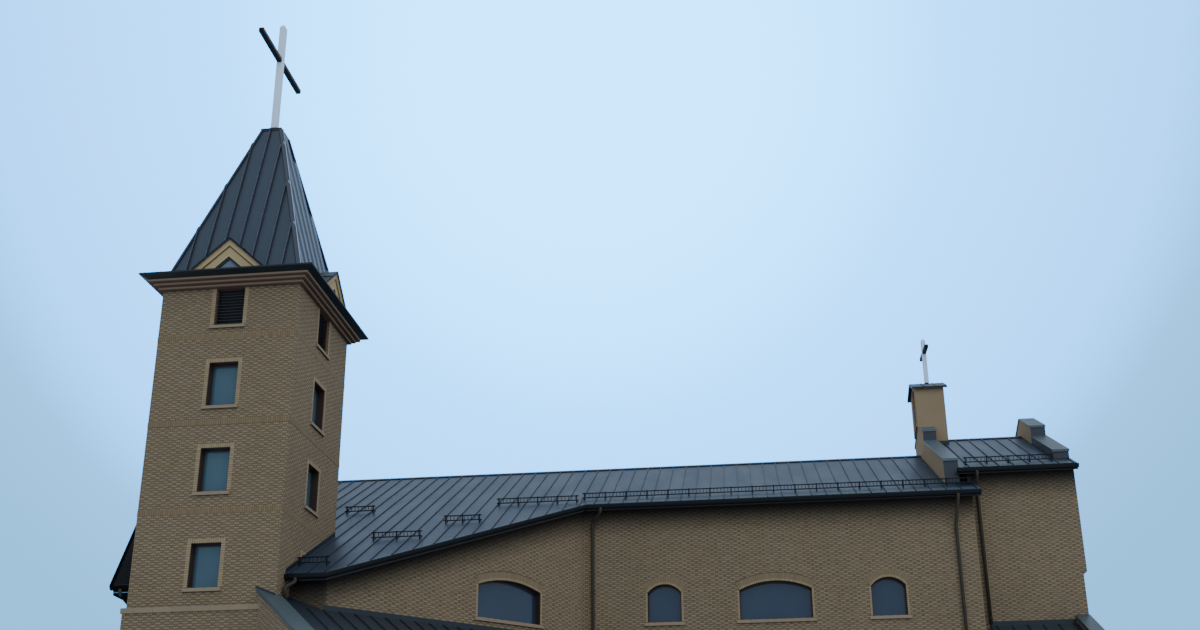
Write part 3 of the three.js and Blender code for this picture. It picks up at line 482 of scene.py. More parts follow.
def metal_look(name, colour, soffit=None, roughness=0.42, metallic=0.35, shine=0.5):
    """Painted sheet metal with faint stains. Faces that look down take the soffit colour, a painted shade.
    """
    t = Tree(name)
    t.shader.inputs["Specular IOR Level"].default_value = shine
    stain = t.noise(t.stretched(1.0, 0.25, 0.4), 1.6, 4.0)
    shaded = t.vary(colour, (stain, 0.1), (t.grain(22.0, 3.0), 0.04))
    # Painted shade on faces that look down.
    if soffit:
        shaded = t.mix(t.math("LESS_THAN", t.facing()[2], 0.1), shaded, soffit)
    t.bump(stain, 0.01, 0.5)
    return t.finish(shaded, t.math("MULTIPLY_ADD", stain, 0.2, roughness - 0.1), metallic)


def paint_look(name, colour, roughness=0.7, soffit=None, shine=0.5):
    return metal_look(name, colour, soffit, roughness, 0.0, shine)


def glass_look(name, low, high):
    """Dark glass whose tint drifts a little, as old sheets do."""
    t = Tree(name)
    t.bump(t.grain(2.2, 1.0), 0.004, 0.4)
    return t.finish(t.mix(t.grain(0.9), low, high), 0.06)


def concrete_look():
    t = Tree("concrete_floor")
    t.bump(t.grain(25.0, 4.0), 0.003)
    return t.finish(t.vary((140, 138, 132), (t.grain(1.4, 6.0), 0.15)), 0.9)


def timber_look():
    """Upright boards with grain."""
    t = Tree("timber_boards")
    boards = t.math("DIVIDE", t.wall_place()[0], 0.14)
    gap = t.gap(boards, 0.05)
    grain = t.noise(t.stretched(30.0, 30.0, 1.5), 1.0, 5.0)
    wood = t.vary((84, 58, 42), (grain, 0.25), (t.chance(boards, 4.0, 6.0), 0.12))
    t.bump(t.math("SUBTRACT", grain, gap), 0.004)
    return t.finish(t.mix(gap, wood, (20, 15, 12)), 0.6)


BRICK = brick_look("brick_wall", TOWER_HEADERS, TOWER_MORTAR)
# The nave and chancel brick carry painted shade under their eaves.
NAVE_BRICK = brick_look("nave_brick", NAVE_HEADERS, MORTAR, NAVE_RIDGE)
CHANCEL_BRICK = brick_look("chancel_brick", NAVE_HEADERS, MORTAR, CHANCEL_RIDGE)
SOLDIER = upright_brick_look("soldier_brick", (138, 115, 84), (127, 105, 77))
RING = upright_brick_look("arch_ring_brick", (137, 116, 87), (129, 109, 81), (112, 94, 72))
BORDER = upright_brick_look("border_brick", (164, 141, 108), (152, 130, 98))
PLASTER = plaster_look()
STONE = stone_look("pale_stone", (144, 125, 100))
# The cornice and the sills take a dark painted shade on their downward faces, and the cornice at the foot
# of each step too.
CORNICE = stone_look("cornice_stone", (152, 128, 104), 2.4, (92, 66, 54), 0.36)
SILL_STONE = stone_look("sill_stone", (148, 128, 103), 2.0, (52, 44, 38))
# The second colour of a sheet is painted shade on its downward faces.
ROOF_METAL = metal_look("roof_sheet", (44, 59, 79), (34, 33, 34))
SPIRE_METAL = metal_look("spire_sheet", (58, 65, 76), (38, 38, 40))
SEAM_METAL = metal_look("seam_fold", (41, 49, 62))
# A pale painted highlight: the sky's reflection on one side of the spire's ribs.
RIB_HIGHLIGHT = metal_look("seam_cheek", (182, 200, 222))
SPIRE_SEAM = metal_look("spire_seam_fold", (54, 56, 67))
EAVE_STRIP = metal_look("eave_strip", (70, 84, 94))
DARK_METAL = metal_look("dark_trim", (36, 42, 48), roughness=0.4)
# Its downward faces take a painted shade.
EAVE_METAL = metal_look("eave_sheet", (34, 44, 50), (30, 38, 42))
PALE_METAL = metal_look("pale_trim", (186, 194, 204), roughness=0.35)
CROSS_METAL = paint_look("cross_paint", (222, 236, 255), 0.5)
CROSS_BLACK = paint_look("cross_bar_paint", (24, 22, 26), 0.6, shine=0.2)
CROSS_LINE = paint_look("cross_bar_line", (92, 86, 98), 0.6)
CLAD_METAL = metal_look("clad_sheet", (54, 57, 63))
# Near-black painted shade, darker still on its downward faces, for the roof beside the tower and its
# gutter.
SHADE_SHEET_METAL = paint_look("tray_sheet", (20, 18, 20), 1.0, (12, 12, 14), 0.1)
# Its downward faces take a painted shade.
LOW_ROOF = metal_look("low_roof_sheet", (48, 55, 63), (34, 33, 34))
GUTTER = metal_look("gutter_sheet", (21, 26, 30), roughness=0.5, shine=0.25)
PIPE_METAL = metal_look("downpipe_sheet", (68, 63, 54), roughness=0.6, shine=0.25)
COPING_METAL = metal_look("coping_sheet", (86, 98, 107))
CHANCEL_COPING = metal_look("chancel_coping_sheet", (74, 85, 90))
VERGE_METAL = metal_look("verge_sheet", (76, 88, 92))
FRAME = paint_look("window_frame", (62, 46, 40), 0.42)
LOUVRE = paint_look("louvre_blade", (70, 68, 72))
GLASS = glass_look("window_glass", (55, 81, 97), (67, 101, 113))
PALE_GLASS = glass_look("dormer_glass", (92, 102, 116), (112, 122, 136))
NAVE_GLASS = glass_look("nave_glass", (37, 49, 70), (46, 63, 83))
MOULDING = paint_look("moulding_paint", (176, 152, 108))
MOULDING_DARK = paint_look("moulding_groove", (96, 64, 38))
BEAD = paint_look("moulding_bead", (196, 172, 128))

SLOT_LOOKS = {
    "brick": BRICK,
    "plaster": PLASTER,
    "stone_trim": STONE,
    "roof_metal": ROOF_METAL,
    "trim_metal": DARK_METAL,
    "pale_metal": PALE_METAL,
    "glass": GLASS,
    "concrete": concrete_look(),
    "timber": timber_look(),
}

# Looks of CAD nodes by the start and the end of their names
NODE_LOOKS = [
    ("tower", "glass", GLASS),
    ("", "glass", NAVE_GLASS),
    ("entrance", "wall", NAVE_BRICK),
    ("nave", "wall", NAVE_BRICK),
    ("chancel", "wall", CHANCEL_BRICK),
    ("dormer", "", MOULDING),
    ("tower", "cornice", CORNICE),
    ("tower", "eave", EAVE_METAL),
    ("lean_to", "roof", LOW_ROOF),
    ("annex", "roof", LOW_ROOF),
    ("spire", "spire", SPIRE_METAL),
]


def dress_nodes():
    """Gives each CAD node a look of its own, or else the look of its slot."""
    for name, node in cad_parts.items():
        looks = [look for start, end, look in NODE_LOOKS if name.startswith(start) and name.endswith(end)]
        for used in node.material_slots:
            slots = [look for slot, look in SLOT_LOOKS.items() if used.material.name.startswith(slot)]
            used.material = (looks + slots)[0]


# Shapes


class Shape:
    """The faces of one piece, in plan places."""

    def __init__(self):
        self.points = []
        self.faces = []
        self.smooth = []
        self.uvs = []

    def add(self, points, faces, smooth=0, uvs=None):
        """Adds points and faces, the first few of them smooth."""
        start = len(self.points)
        self.points += [Vector(p) for p in points]
        self.faces += [[start + i for i in face] for face in faces]
        self.smooth += [i < smooth for i in range(len(faces))]
        for face in faces:
            for i in face:
                self.uvs += uvs[i] if uvs else (0.0, 0.0)

    def loft(self, rings, smooth=False):
        """Joins closed rings of as many points each, one after another, and closes both ends."""
        size = len(rings[0])
        sides = []
        for i in range(len(rings) - 1):
            a, b = i * size, (i + 1) * size
            sides += [(a + k, a + (k + 1) % size, b + (k + 1) % size, b + k) for k in range(size)]
        points = [p for ring in rings for p in ring]
        ends = [list(range(size)), list(range(len(points) - size, len(points)))[::-1]]
        self.add(points, sides + ends, len(sides) if smooth else 0)

    def plate(self, outline, depth):
        """A flat outline moved along a vector."""
        self.loft([outline, [p + depth for p in outline]])

    def bar(self, start, end, across, up):
        """A straight bar with its middle line from start to end, across and up being its whole sizes."""
        corners = [(across * a + up * b) / 2 for a, b in SQUARE]
        self.loft([[Vector(p) + corner for corner in corners] for p in (start, end)])

    def tube(self, path, radius, sides=12):
        """A round tube along a path, with mitred bends."""
        path = [Vector(p) for p in path]
        ways = [(b - a).normalized() for a, b in zip(path, path[1:])]
        side = ways[0].orthogonal().normalized()
        rings = []
        for point, before, after in zip(path, ways[:1] + ways, ways + ways[-1:]):
            half_way = (before + after).normalized()
            side = (side - before * side.dot(before)).normalized()
            other = before.cross(side)
            ring = []
            for k in range(sides):
                angle = 2 * math.pi * k / sides
                reach = side * (radius * math.cos(angle)) + other * (radius * math.sin(angle))
                slide = -reach.dot(half_way) / max(before.dot(half_way), 0.2)
                ring.append(point + reach + before * slide)
            rings.append(ring)
        self.loft(rings, smooth=True)


def shapes(count):
    return [Shape() for _ in range(count)]


def piece(name, shape, look, bevel=0.0, replaces=()):
    mesh = bpy.data.meshes.new(name)
    mesh.from_pydata([p + ORIGIN for p in shape.points], [], shape.faces)
    mesh.polygons.foreach_set("use_smooth", shape.smooth)
    mesh.uv_layers.new(name="metres").data.foreach_set("uv", shape.uvs)
    made = bmesh.new()
    made.from_mesh(mesh)
    bmesh.ops.recalc_face_normals(made, faces=made.faces)
    made.to_mesh(mesh)
    made.free()
    mesh.materials.append(look)
    obj = bpy.data.objects.new(name, mesh)
    bpy.context.collection.objects.link(obj)
    if bevel:
        edge = obj.modifiers.new("edge", "BEVEL")
        edge.width = bevel
        edge.segments = 2
        edge.limit_method = "ANGLE"
    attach(obj, "root")
    if replaces:
        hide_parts(*replaces)


class Face:
    """An upright wall face: distance along it, distance out from it, and height."""

    def __init__(self, start, along):
        self.start = Vector((*start, 0))
        self.along = Vector((*along, 0)).normalized()
        self.out = self.along.cross(UP)

    def at(self, along, out, high):
        return self.start + self.along * along + self.out * out + UP * high

    def box(self, shape, along, out, high):
        """A box between two distances along, two out and two heights."""
        corners = [(along[0], high[0]), (along[1], high[0]), (along[1], high[1]), (along[0], high[1])]
        shape.plate([self.at(a, out[0], z) for a, z in corners], self.out * (out[1] - out[0]))


NAVE_FACE = Face((0, NAVE_FRONT), (1, 0))
GABLE_FACE = Face((WEST_WALL, 0), (0, -1))
SPLAY = Face((SPLAY_OUT * DIAGONAL, -SPLAY_OUT * DIAGONAL), (1, 1))
CORNER = Face((0, 0), (1, 1))


def quarter_turn(x, y, turns):
    return [(x, y), (-y, x), (-x, -y), (y, -x)][turns]


def tower_face(turns):
    """The face of the tower, its middle at nought."""
    x, y = quarter_turn(0, -HALF, turns)
    return Face((x - HALF, y + HALF), quarter_turn(1, 0, turns))


def nave_top(y):
    return NAVE_RIDGE - PITCH * abs(y - RIDGE_Y)


def chancel_top(y):
    return CHANCEL_RIDGE - PITCH * abs(y - RIDGE_Y)


def lean_top(out, head=LEAN_HEAD):
    return head - LEAN_PITCH * out


def annex_top(y, head=ANNEX_HEAD):
    return head - PITCH * (CHANCEL_FRONT - y)


def mirror(y):
    return 2 * RIDGE_Y - y


def on_roof(outline, top, lift):
    return [Vector((x, y, top(y) + lift)) for x, y in outline]


# Tower


def strip(shape, low, high, out, lengths):
    """A thin brick strip between two lines of points on a face, moved out, its UV along it in metres."""
    faces = [(4, 5, 6, 7), (0, 1, 2, 3), (0, 1, 5, 4), (1, 2, 6, 5), (2, 3, 7, 6), (3, 0, 4, 7)]
    for i in range(len(low) - 1):
        quad = [low[i], low[i + 1], high[i + 1], high[i]]
        uvs = [(lengths[i], 0), (lengths[i + 1], 0), (lengths[i + 1], 0.2), (lengths[i], 0.2)]
        shape.add(quad + [p + out for p in quad], faces, uvs=uvs * 2)


def level_strip(shape, face, along, high):
    strip(shape, *[[face.at(a, 0, z) for a in along] for z in high], face.out * PROUD, along)


def upright_strip(shape, face, along, high):
    strip(shape, *[[face.at(a, 0, z) for z in high] for a in along], face.out * PROUD, high)


def sill(shape, face, middle, width, level):
    """A sill with a sloping top and a drip edge, and the sheet that runs back from it to the frame."""
    inner, reach, fall = width / 2, width / 2 + SILL_OVER, 0.012
    low = level - SILL_THICK
    profile = [(0, level - fall), (SILL_OUT, level - 0.03), (SILL_OUT, low), (0, low)]
    shape.loft([[face.at(middle + a, out, z) for out, z in profile] for a in (-reach, reach)])
    back = [(-inner, FRAME_FROM, 0.001), (inner, FRAME_FROM, 0.001), (inner, 0, -fall), (-inner, 0, -fall)]
    shape.plate([face.at(middle + a, out, level + z) for a, out, z in back], UP * fall)


def square_frame(shape, face, half, high, wide, outs):
    """Four bars round an opening."""
    low, top = high
    for along, levels in (
        ((-half, wide - half), high),
        ((half - wide, half), high),
        ((wide - half, half - wide), (top - wide, top)),
        ((wide - half, half - wide), (low, low + wide)),
    ):
        face.box(shape, along, outs, levels)


def flat_window(face, low, high, frames, panes):
    """The frame, lining and pane of one square window."""
    half, wide = TOWER_WINDOW / 2, FRAME_WIDE
    reveal = (FRAME_FROM, -0.015)
    square_frame(frames, face, half, (low, high), wide, (FRAME_TO, FRAME_FROM))
    for along in ((-half, LINING - half), (half - LINING, half)):
        face.box(frames, along, reveal, (low, high))
    face.box(frames, (LINING - half, half - LINING), reveal, (high - LINING, high))
    face.box(panes, (wide - half, half - wide), PANE, (low + wide, high - wide))


def louvred_window(face, low, high, frames, blades):
    half, wide = TOWER_WINDOW / 2, LOUVRE_FRAME
    ends = (wide - half, half - wide)
    square_frame(frames, face, half, (low, high), wide, (-0.26, -0.08))
    face.box(blades, ends, (-0.262, -0.254), (low + wide, high - wide))
    step = (high - low - 2 * wide) / LOUVRES
    for i in range(LOUVRES):
        z = low + wide + step * (i + 0.3)
        back = z + step * 0.8
        profile = [(-0.24, back), (-0.232, back + FOLD), (-0.1, z), (-0.108, z - FOLD)]
        blades.loft([[face.at(a, out, level) for out, level in profile] for a in ends])


def tower_windows():
    frames, panes, blades, borders, sills = shapes(5)
    half, outer = TOWER_WINDOW / 2, TOWER_WINDOW / 2 + BORDER_WIDE
    for turns in range(4):
        face = tower_face(turns)
        for low, high in TOWER_ROWS[:-1]:
            flat_window(face, low, high, frames, panes)
            level_strip(borders, face, (-outer, outer), (high, high + BORDER_WIDE))
        low, high = TOWER_ROWS[-1]
        louvred_window(face, low, high - 0.001, frames, blades)
        for low, high in TOWER_ROWS:
            for ends in ((-outer, -half), (half, outer)):
                upright_strip(borders, face, ends, (low, high))
            sill(sills, face, 0, TOWER_WINDOW, low)
    piece("tower_window_frames", frames, FRAME)
    piece("tower_window_panes", panes, GLASS)
    piece("tower_louvres", blades, LOUVRE)
    piece("tower_window_borders", borders, BORDER)
    piece("tower_window_sills", sills, SILL_STONE, bevel=0.006)


def tower_bands():
    bands = Shape()
    for turns in range(4):
        for level in BAND_LEVELS:
            level_strip(bands, tower_face(turns), (-HALF - PROUD, HALF), level)
    piece("tower_soldier_bands", bands, SOLDIER)


def tower_eave():
    """A folded drip edge round the eave and seams on its skirt."""
    drip, seams = shapes(2)
    slope = (SPIRE_FOOT - EAVE_TOP) / (EAVE_HALF - SKIRT_HALF)
    reach = EAVE_HALF - 0.006
    for turns in range(4):
        face = tower_face(turns)
        ends = [face.at(a, EAVE_HALF - HALF - 0.008, EAVE_TOP - 0.008) for a in (-reach, reach)]
        drip.bar(*ends, face.out * 0.012, UP * 0.05)
        for i in range(-5, 6):
            along = i * SPIRE_SEAMS
            inner = max(SKIRT_HALF, abs(along))
            a = face.at(along, inner - HALF, EAVE_TOP + slope * (EAVE_HALF - inner) + 0.012)
            b = face.at(along, EAVE_HALF - HALF - 0.01, EAVE_TOP + 0.014)
            seams.bar(a, b, face.along * 0.022, UP * 0.03)
    piece("tower_eave_drip", drip, DARK_METAL)
    piece("tower_eave_seams", seams, SEAM_METAL)


# Spire


def spire_face(turns):
    return Face((SPIRE_OFFSET[0] - HALF, SPIRE_OFFSET[1] + HALF), quarter_turn(1, 0, turns))


def spire_half(z):
    return SPIRE_FOOT_HALF - SPIRE_LEAN * (z - SPIRE_FOOT)


def spire_seams():
    """Ribs with a painted highlight along one side, a pale strip standing in for the sky's reflection, and
    caps on the hips with the same painted highlight along every second one.
    """
    ribs, hips, highlights = shapes(3)
    low = SPIRE_FOOT + 0.01
    for turns in range(4):
        face = spire_face(turns)
        normal = (face.out + UP * SPIRE_LEAN).normalized()
        beside = face.along * (-RIB_WIDE / 2 - 0.002)
        for i in range(-3, 4):
            along = i * SPIRE_SEAMS
            top = min(SPIRE_TOP - 0.03, SPIRE_FOOT + (SPIRE_FOOT_HALF - abs(along)) / SPIRE_LEAN)
            start, end = [face.at(along, spire_half(z), z) + normal * (RIB_HIGH / 2) for z in (low, top)]
            ribs.bar(start, end, face.along * RIB_WIDE, normal * RIB_HIGH)
            # Painted highlight along one side of each rib.
            highlights.bar(start + beside, end + beside, face.along * 0.004, normal * RIB_HIGH * 0.9)
        outward = (face.along + face.out).normalized()
        side = (face.along - face.out).normalized()
        halves = [(spire_half(z) + 0.005, z) for z in (SPIRE_FOOT, SPIRE_TOP)]
        start, end = [face.at(half, half, z) for half, z in halves]
        hips.bar(start, end, side * HIP_WIDE, outward * 0.05)
        # Painted highlight along every second hip.
        if turns % 2 == 0:
            edge = side * (HIP_WIDE + HIP_EDGE) / 2
            highlights.bar(start + edge, end + edge, side * HIP_EDGE, outward * 0.07)
    piece("spire_seams", ribs, SPIRE_SEAM)
    piece("spire_seam_cheeks", highlights, RIB_HIGHLIGHT)
    piece("spire_hips", hips, SEAM_METAL)


# Crosses


def square_ring(x, y, half, z):
    return [Vector((x + a * half, y + b * half, z)) for a, b in SQUARE]


def cross(node, cross_sizes, bevel):
    """A square mast with a pointed top, and a bar along Y with pointed ends and chamfered edges."""
    (x, y), (foot, top, wide, point), (reach, z, thick) = cross_sizes
    mast, bar = shapes(2)
    levels = [(foot, wide), (top - point, wide), (top - point * 0.3, wide * 0.55), (top, wide * 0.12)]
    mast.loft([square_ring(x, y, half, level) for level, half in levels])
    half = thick / 2
    edge = half * 0.86
    outline = [(-half, -edge), (-edge, -half), (edge, -half), (half, -edge)]
    outline += [(-a, -b) for a, b in outline]
    stations = [(-reach, 0.12), (half - reach, 1), (reach - half, 1), (reach, 0.12)]
    bar.loft([[Vector((x + a * k, y + s, z + b * k)) for a, b in outline] for s, k in stations])
    piece(f"{node}_mast", mast, CROSS_METAL, bevel=bevel, replaces=[node])
    piece(f"{node}_bar", bar, CROSS_BLACK, replaces=[node])


def crosses():
    """Both crosses, with a line on the bar of the large one and a collar round its foot."""
    cross("spire_cross", SPIRE_CROSS, 0.012)
    (x, y), (foot, _, wide, _), (reach, z, thick) = SPIRE_CROSS
    edges, collar = shapes(2)
    half = thick / 2
    for side in (-1, 1):
        at = Vector((x + side * (half + 0.002), y, z))
        edges.bar(at - BACK * (reach - half), at + BACK * (reach - half), EAST * 0.006, UP * 0.05)
    levels = [(foot, 0.2), (foot + 0.05, 0.19), (foot + 0.16, wide + 0.012)]
    collar.loft([square_ring(x, y, half, level) for level, half in levels])
    piece("spire_cross_edges", edges, CROSS_LINE)
    piece("spire_cross_collar", collar, DARK_METAL)
    cross("bell_cote_cross", BELL_CROSS, 0.008)


# Dormers


def dormer_line(face, drop, out):
    """Foot, apex and foot of a raking line that lies below the dormer's top by a drop."""
    apex = DORMER_APEX - drop
    reach = (apex - DORMER_FOOT) / DORMER_SLOPE
    return [face.at(-reach, out, DORMER_FOOT), face.at(0, out, apex), face.at(reach, out, DORMER_FOOT)]


def raking_strip(shape, face, drops, out, depth):
    """A chevron strip on a dormer's front, between two drops."""
    top, low = [dormer_line(face, drop, out) for drop in drops]
    for i in (0, 1):
        shape.plate([top[i], top[i + 1], low[i + 1], low[i]], face.out * -depth)


def dormers():
    grooves, rims, panes, sheets, beads = shapes(5)
    moulding, window = DORMER_MOULDING, DORMER_WINDOW
    step, front, foot_z = DORMER_FRONT - DORMER_STEP, DORMER_FRONT + DORMER_OVER, DORMER_FOOT - 0.02
    reach = (DORMER_APEX - foot_z) / DORMER_SLOPE
    seam_z = DORMER_APEX - DORMER_SEAM * DORMER_SLOPE
    for turns in range(4):
        face = spire_face(turns)
        ahead = face.out * front
        raking_strip(grooves, face, (moulding, moulding + GROOVE_WIDE), step + 0.006, 0.008)
        raking_strip(rims, face, (window - 0.005, window + RIM_WIDE), step - 0.02, 0.06)
        raking_strip(beads, face, (window - BEAD_WIDE, window - 0.004), step + 0.012, BEAD_THICK)
        raking_strip(beads, face, (0.0, TOP_BEAD), DORMER_FRONT + 0.012, BEAD_THICK)
        panes.plate(dormer_line(face, window + 0.095, step - 0.06), face.out * -0.02)
        for side in (-1, 1):
            lift = (UP + face.along * (side * DORMER_SLOPE)).normalized()
            apex, foot = face.at(0, 0, DORMER_APEX), face.at(side * reach, 0, foot_z)
            behind, below = [face.out * spire_half(z) for z in (DORMER_APEX, SPIRE_FOOT)]
            sheets.plate([apex + ahead, apex + behind, foot + below, foot + ahead], lift * 0.03)
            verge = [(apex, 0.03), (foot, 0.03), (foot, -0.05), (apex, -0.05)]
            sheets.plate([p + ahead + UP * rise for p, rise in verge], face.out * -0.02)
            seam = face.at(side * DORMER_SEAM, 0, seam_z) + lift * 0.03
            far = face.out * (spire_half(seam_z) - 0.01)
            sheets.bar(seam + far, seam + ahead, face.along * 0.02, lift * 0.03)
    piece("dormer_grooves", grooves, MOULDING_DARK)
    piece("dormer_window_rims", rims, DARK_METAL)
    piece("dormer_panes", panes, PALE_GLASS)
    piece("dormer_roofs", sheets, DARK_METAL)
    piece("dormer_beads", beads, BEAD)


# Arched windows


class Arch:
    """A flat arch over an opening in a face."""

    def __init__(self, face, middle, width, spring, rise):
        self.face = face
        self.middle = middle
        self.radius = width * width / (8 * rise) + rise / 2
        self.centre = spring + rise - self.radius
        half = math.asin(width / 2 / self.radius)
        self.angles = [-half + 2 * half * i / ARCH_STEPS for i in range(ARCH_STEPS + 1)]
        self.lengths = [self.radius * (angle + half) for angle in self.angles]

    def line(self, grow, out=0):
        """Points from its left foot to its right, moved outwards by an amount."""
        reach = self.radius + grow
        turns = [(reach * math.sin(angle), reach * math.cos(angle)) for angle in self.angles]
        return [self.face.at(self.middle + along, out, self.centre + high) for along, high in turns]

    def bar(self, shape, wide, outs):
        """A bar that lines it on the inside."""
        low, high = [[self.line(grow, out) for out in outs] for grow in (-wide, 0)]
        shape.loft(list(zip(*low, *high[::-1])))

    def strip(self, shape, inner, outer, proud=PROUD):
        strip(shape, self.line(inner), self.line(outer), self.face.out * proud, self.lengths)


def arched_window(parts, face, middle, width, sill_z, spring, rise):
    frames, panes, borders, rings, sills = parts
    left, right, wide = middle - width / 2, middle + width / 2, FRAME_WIDE
    low = sill_z + wide
    arch = Arch(face, middle, width, spring, rise)
    for thick, outs in ((wide, (FRAME_TO, FRAME_FROM)), (LINING, (FRAME_FROM, -0.02))):
        for ends in ((left, left + thick), (right - thick, right)):
            face.box(frames, ends, outs, (sill_z, spring))
        arch.bar(frames, thick, outs)
    face.box(frames, (left + wide, right - wide), (FRAME_TO, FRAME_FROM), (sill_z, low))
    foot = [face.at(along, PANE[0], low) for along in (right - wide, left + wide)]
    panes.plate(arch.line(0.004 - wide, PANE[0]) + foot, face.out * 0.02)
    arch.strip(borders, 0, ARCH_BORDER, PROUD + 0.004)
    arch.strip(rings, ARCH_BORDER, ARCH_RING)
    if width > SMALL:
        arch.strip(frames, ARCH_RING, ARCH_RING + 0.022)
    for ends in ((left - ARCH_BORDER, left), (right, right + ARCH_BORDER)):
        upright_strip(borders, face, ends, (sill_z, spring))
    sill(sills, face, middle, width, sill_z)


def nave_windows():
    groups = {}

    def window(group, face, middle, width, drop=0, levels=WINDOW_LEVELS):
        sill_z, spring, rise = levels
        parts = groups.setdefault(group, shapes(5))
        arched_window(parts, face, middle, width, sill_z - drop, spring - drop, rise)

    back = Face((0, mirror(NAVE_FRONT)), (-1, 0))
    for group, face, count, sign in (("nave_front", NAVE_FACE, 3, 1), ("nave_back", back, 7, -1)):
        for i in range(count):
            for drop in (0, LOWER_DROP):
                middle = sign * (WINDOW_FIRST - i * WINDOW_PITCH)
                window(group, face, middle, WIDE if i % 2 else SMALL, drop)
    window("splay", SPLAY, SPLAY_WINDOW, WIDE, levels=SPLAY_LEVELS)
    start, end = [Vector(p) for p in LEFT_WALL]
    way = end - start
    window("left_splay", Face(start, way), way.length - LEFT_WINDOW, WIDE, levels=SPLAY_LEVELS)
    for side in (-1, 1):
        window("entrance", GABLE_FACE, -RIDGE_Y + side * ENTRANCE_WINDOW, SMALL)
    lean = Face((LEAN_WALL * DIAGONAL, -LEAN_WALL * DIAGONAL), (1, 1))
    for along, width in LEAN_WINDOWS:
        window("lean_to", lean, along, width, LOWER_DROP)
    window("annex", Face((0, ANNEX_FRONT), (1, 0)), ANNEX_WINDOW, SMALL, LOWER_DROP)
    for group, (frames, panes, borders, rings, sills) in groups.items():
        piece(f"{group}_window_frames", frames, FRAME)
        piece(f"{group}_window_panes", panes, NAVE_GLASS)
        piece(f"{group}_window_borders", borders, BORDER)
        piece(f"{group}_window_arches", rings, RING)
        piece(f"{group}_window_sills", sills, SILL_STONE, bevel=0.006)


def string_course():
    """A thin line between the front windows, level with their springs."""
    line = Shape()
    small, wide = STRING_CLEAR[SMALL], STRING_CLEAR[WIDE]
    east, middle, west = [WINDOW_FIRST - i * WINDOW_PITCH for i in range(3)]
    for ends in ((west + small, middle - wide), (middle + wide, east - small), (east + small, STRING_END)):
        NAVE_FACE.box(line, ends, (-0.01, 0.01), STRING_LEVELS)
    piece("nave_string_course", line, PLASTER)


# Roof seams and sheets


def slope_rib(shape, x, y0, y1, top):
    """A standing seam at one place along the ridge, between two distances in plan."""
    a, b = on_roof([(x, y0), (x, y1)], top, 0)
    normal = (b - a).normalized().cross(EAST)
    normal = normal if normal.z > 0 else -normal
    lift = normal * (SEAM_HIGH / 2 - 0.004)
    shape.bar(a + lift, b + lift, EAST * SEAM_WIDE, normal * SEAM_HIGH)


def nave_edge(x):
    """The plan line of the nave roof's front edge at one place along the ridge."""
    if x >= SPLAY_TO:
        return NAVE_EAVE
    if x >= SPLAY_FROM:
        return x - SPLAY_LINE
    if x >= -TOWER:
        return SHORT_EAVE
    if x >= LEFT_CORNER:
        return LEFT_EAVE
    return LEFT_EAVE + (LEFT_CORNER - x) * (WEST_EAVE_Y - LEFT_EAVE) / (LEFT_CORNER - WEST_EAVE)


def splay_x(y):
    """The left splay's edge at one distance in plan."""
    return LEFT_CORNER - (y - LEFT_EAVE) * (LEFT_CORNER - WEST_EAVE) / (WEST_EAVE_Y - LEFT_EAVE)


def shade_sheet_edge(x):
    """The plan line where the sheet of painted shade along the left splay ends and the seams begin."""
    run = -TOWER - splay_x(SHADE_SHEET_TOP) - SHADE_SHEET_NARROW
    return SHADE_SHEET_WIDE + (-TOWER - x) * (SHADE_SHEET_TOP - SHADE_SHEET_WIDE) / run


def seam_pair(front, back, x, low, top, eave, roof):
    """A seam on the front slope and one on the back, which reaches down to its own eave."""
    slope_rib(front, x, low, top, roof)
    slope_rib(back, x, mirror(eave + SEAM_END), mirror(top), roof)


def nave_seams():
    front, back = shapes(2)
    for i in range(SEAMS):
        x = SEAMS_FROM - i * SEAM_STEP
        top = RIDGE_Y - SEAM_CLEAR
        low = nave_edge(x) + SEAM_END
        if -TOWER - SHADE_SHEET_REACH < x < SEAM_END:
            low = max(low, (shade_sheet_edge(x) if x < -TOWER else TOWER) + 0.03)
        if x > AT_PARAPET[1]:
            top = PAST_PARAPET
        elif x > AT_PARAPET[0]:
            top = PARAPET_FOOT
        seam_pair(front, back, x, low, top, NAVE_EAVE, nave_top)
    piece("nave_roof_front_seams", front, SEAM_METAL)
    piece("nave_roof_back_seams", back, SEAM_METAL)


def tower_side_shade():
    """A near-black sheet of painted shade on the roof along the left splay, broad beside the tower and
    narrow at its top, and a board of the same painted shade below the short left eave.
    """
    shade_sheet = Shape()
    beside, end = -TOWER - 0.002, splay_x(SHADE_SHEET_TOP)
    outline = [(LEFT_CORNER, LEFT_EAVE), (beside, LEFT_EAVE), (beside, SHADE_SHEET_WIDE)]
    outline += [(end + SHADE_SHEET_NARROW, SHADE_SHEET_TOP), (end, SHADE_SHEET_TOP)]
    shade_sheet.plate(on_roof(outline, nave_top, 0.002), UP * 0.012)
    soffit = nave_top(LEFT_EAVE) - ROOF
    board = [(LEFT_CORNER, soffit), (beside, soffit), (beside, soffit - 0.34), (LEFT_CORNER, soffit - 0.08)]
    shade_sheet.plate([Vector((x, LEFT_EAVE + 0.02, z)) for x, z in board], BACK * 0.02)
    piece("tower_side_tray", shade_sheet, SHADE_SHEET_METAL)


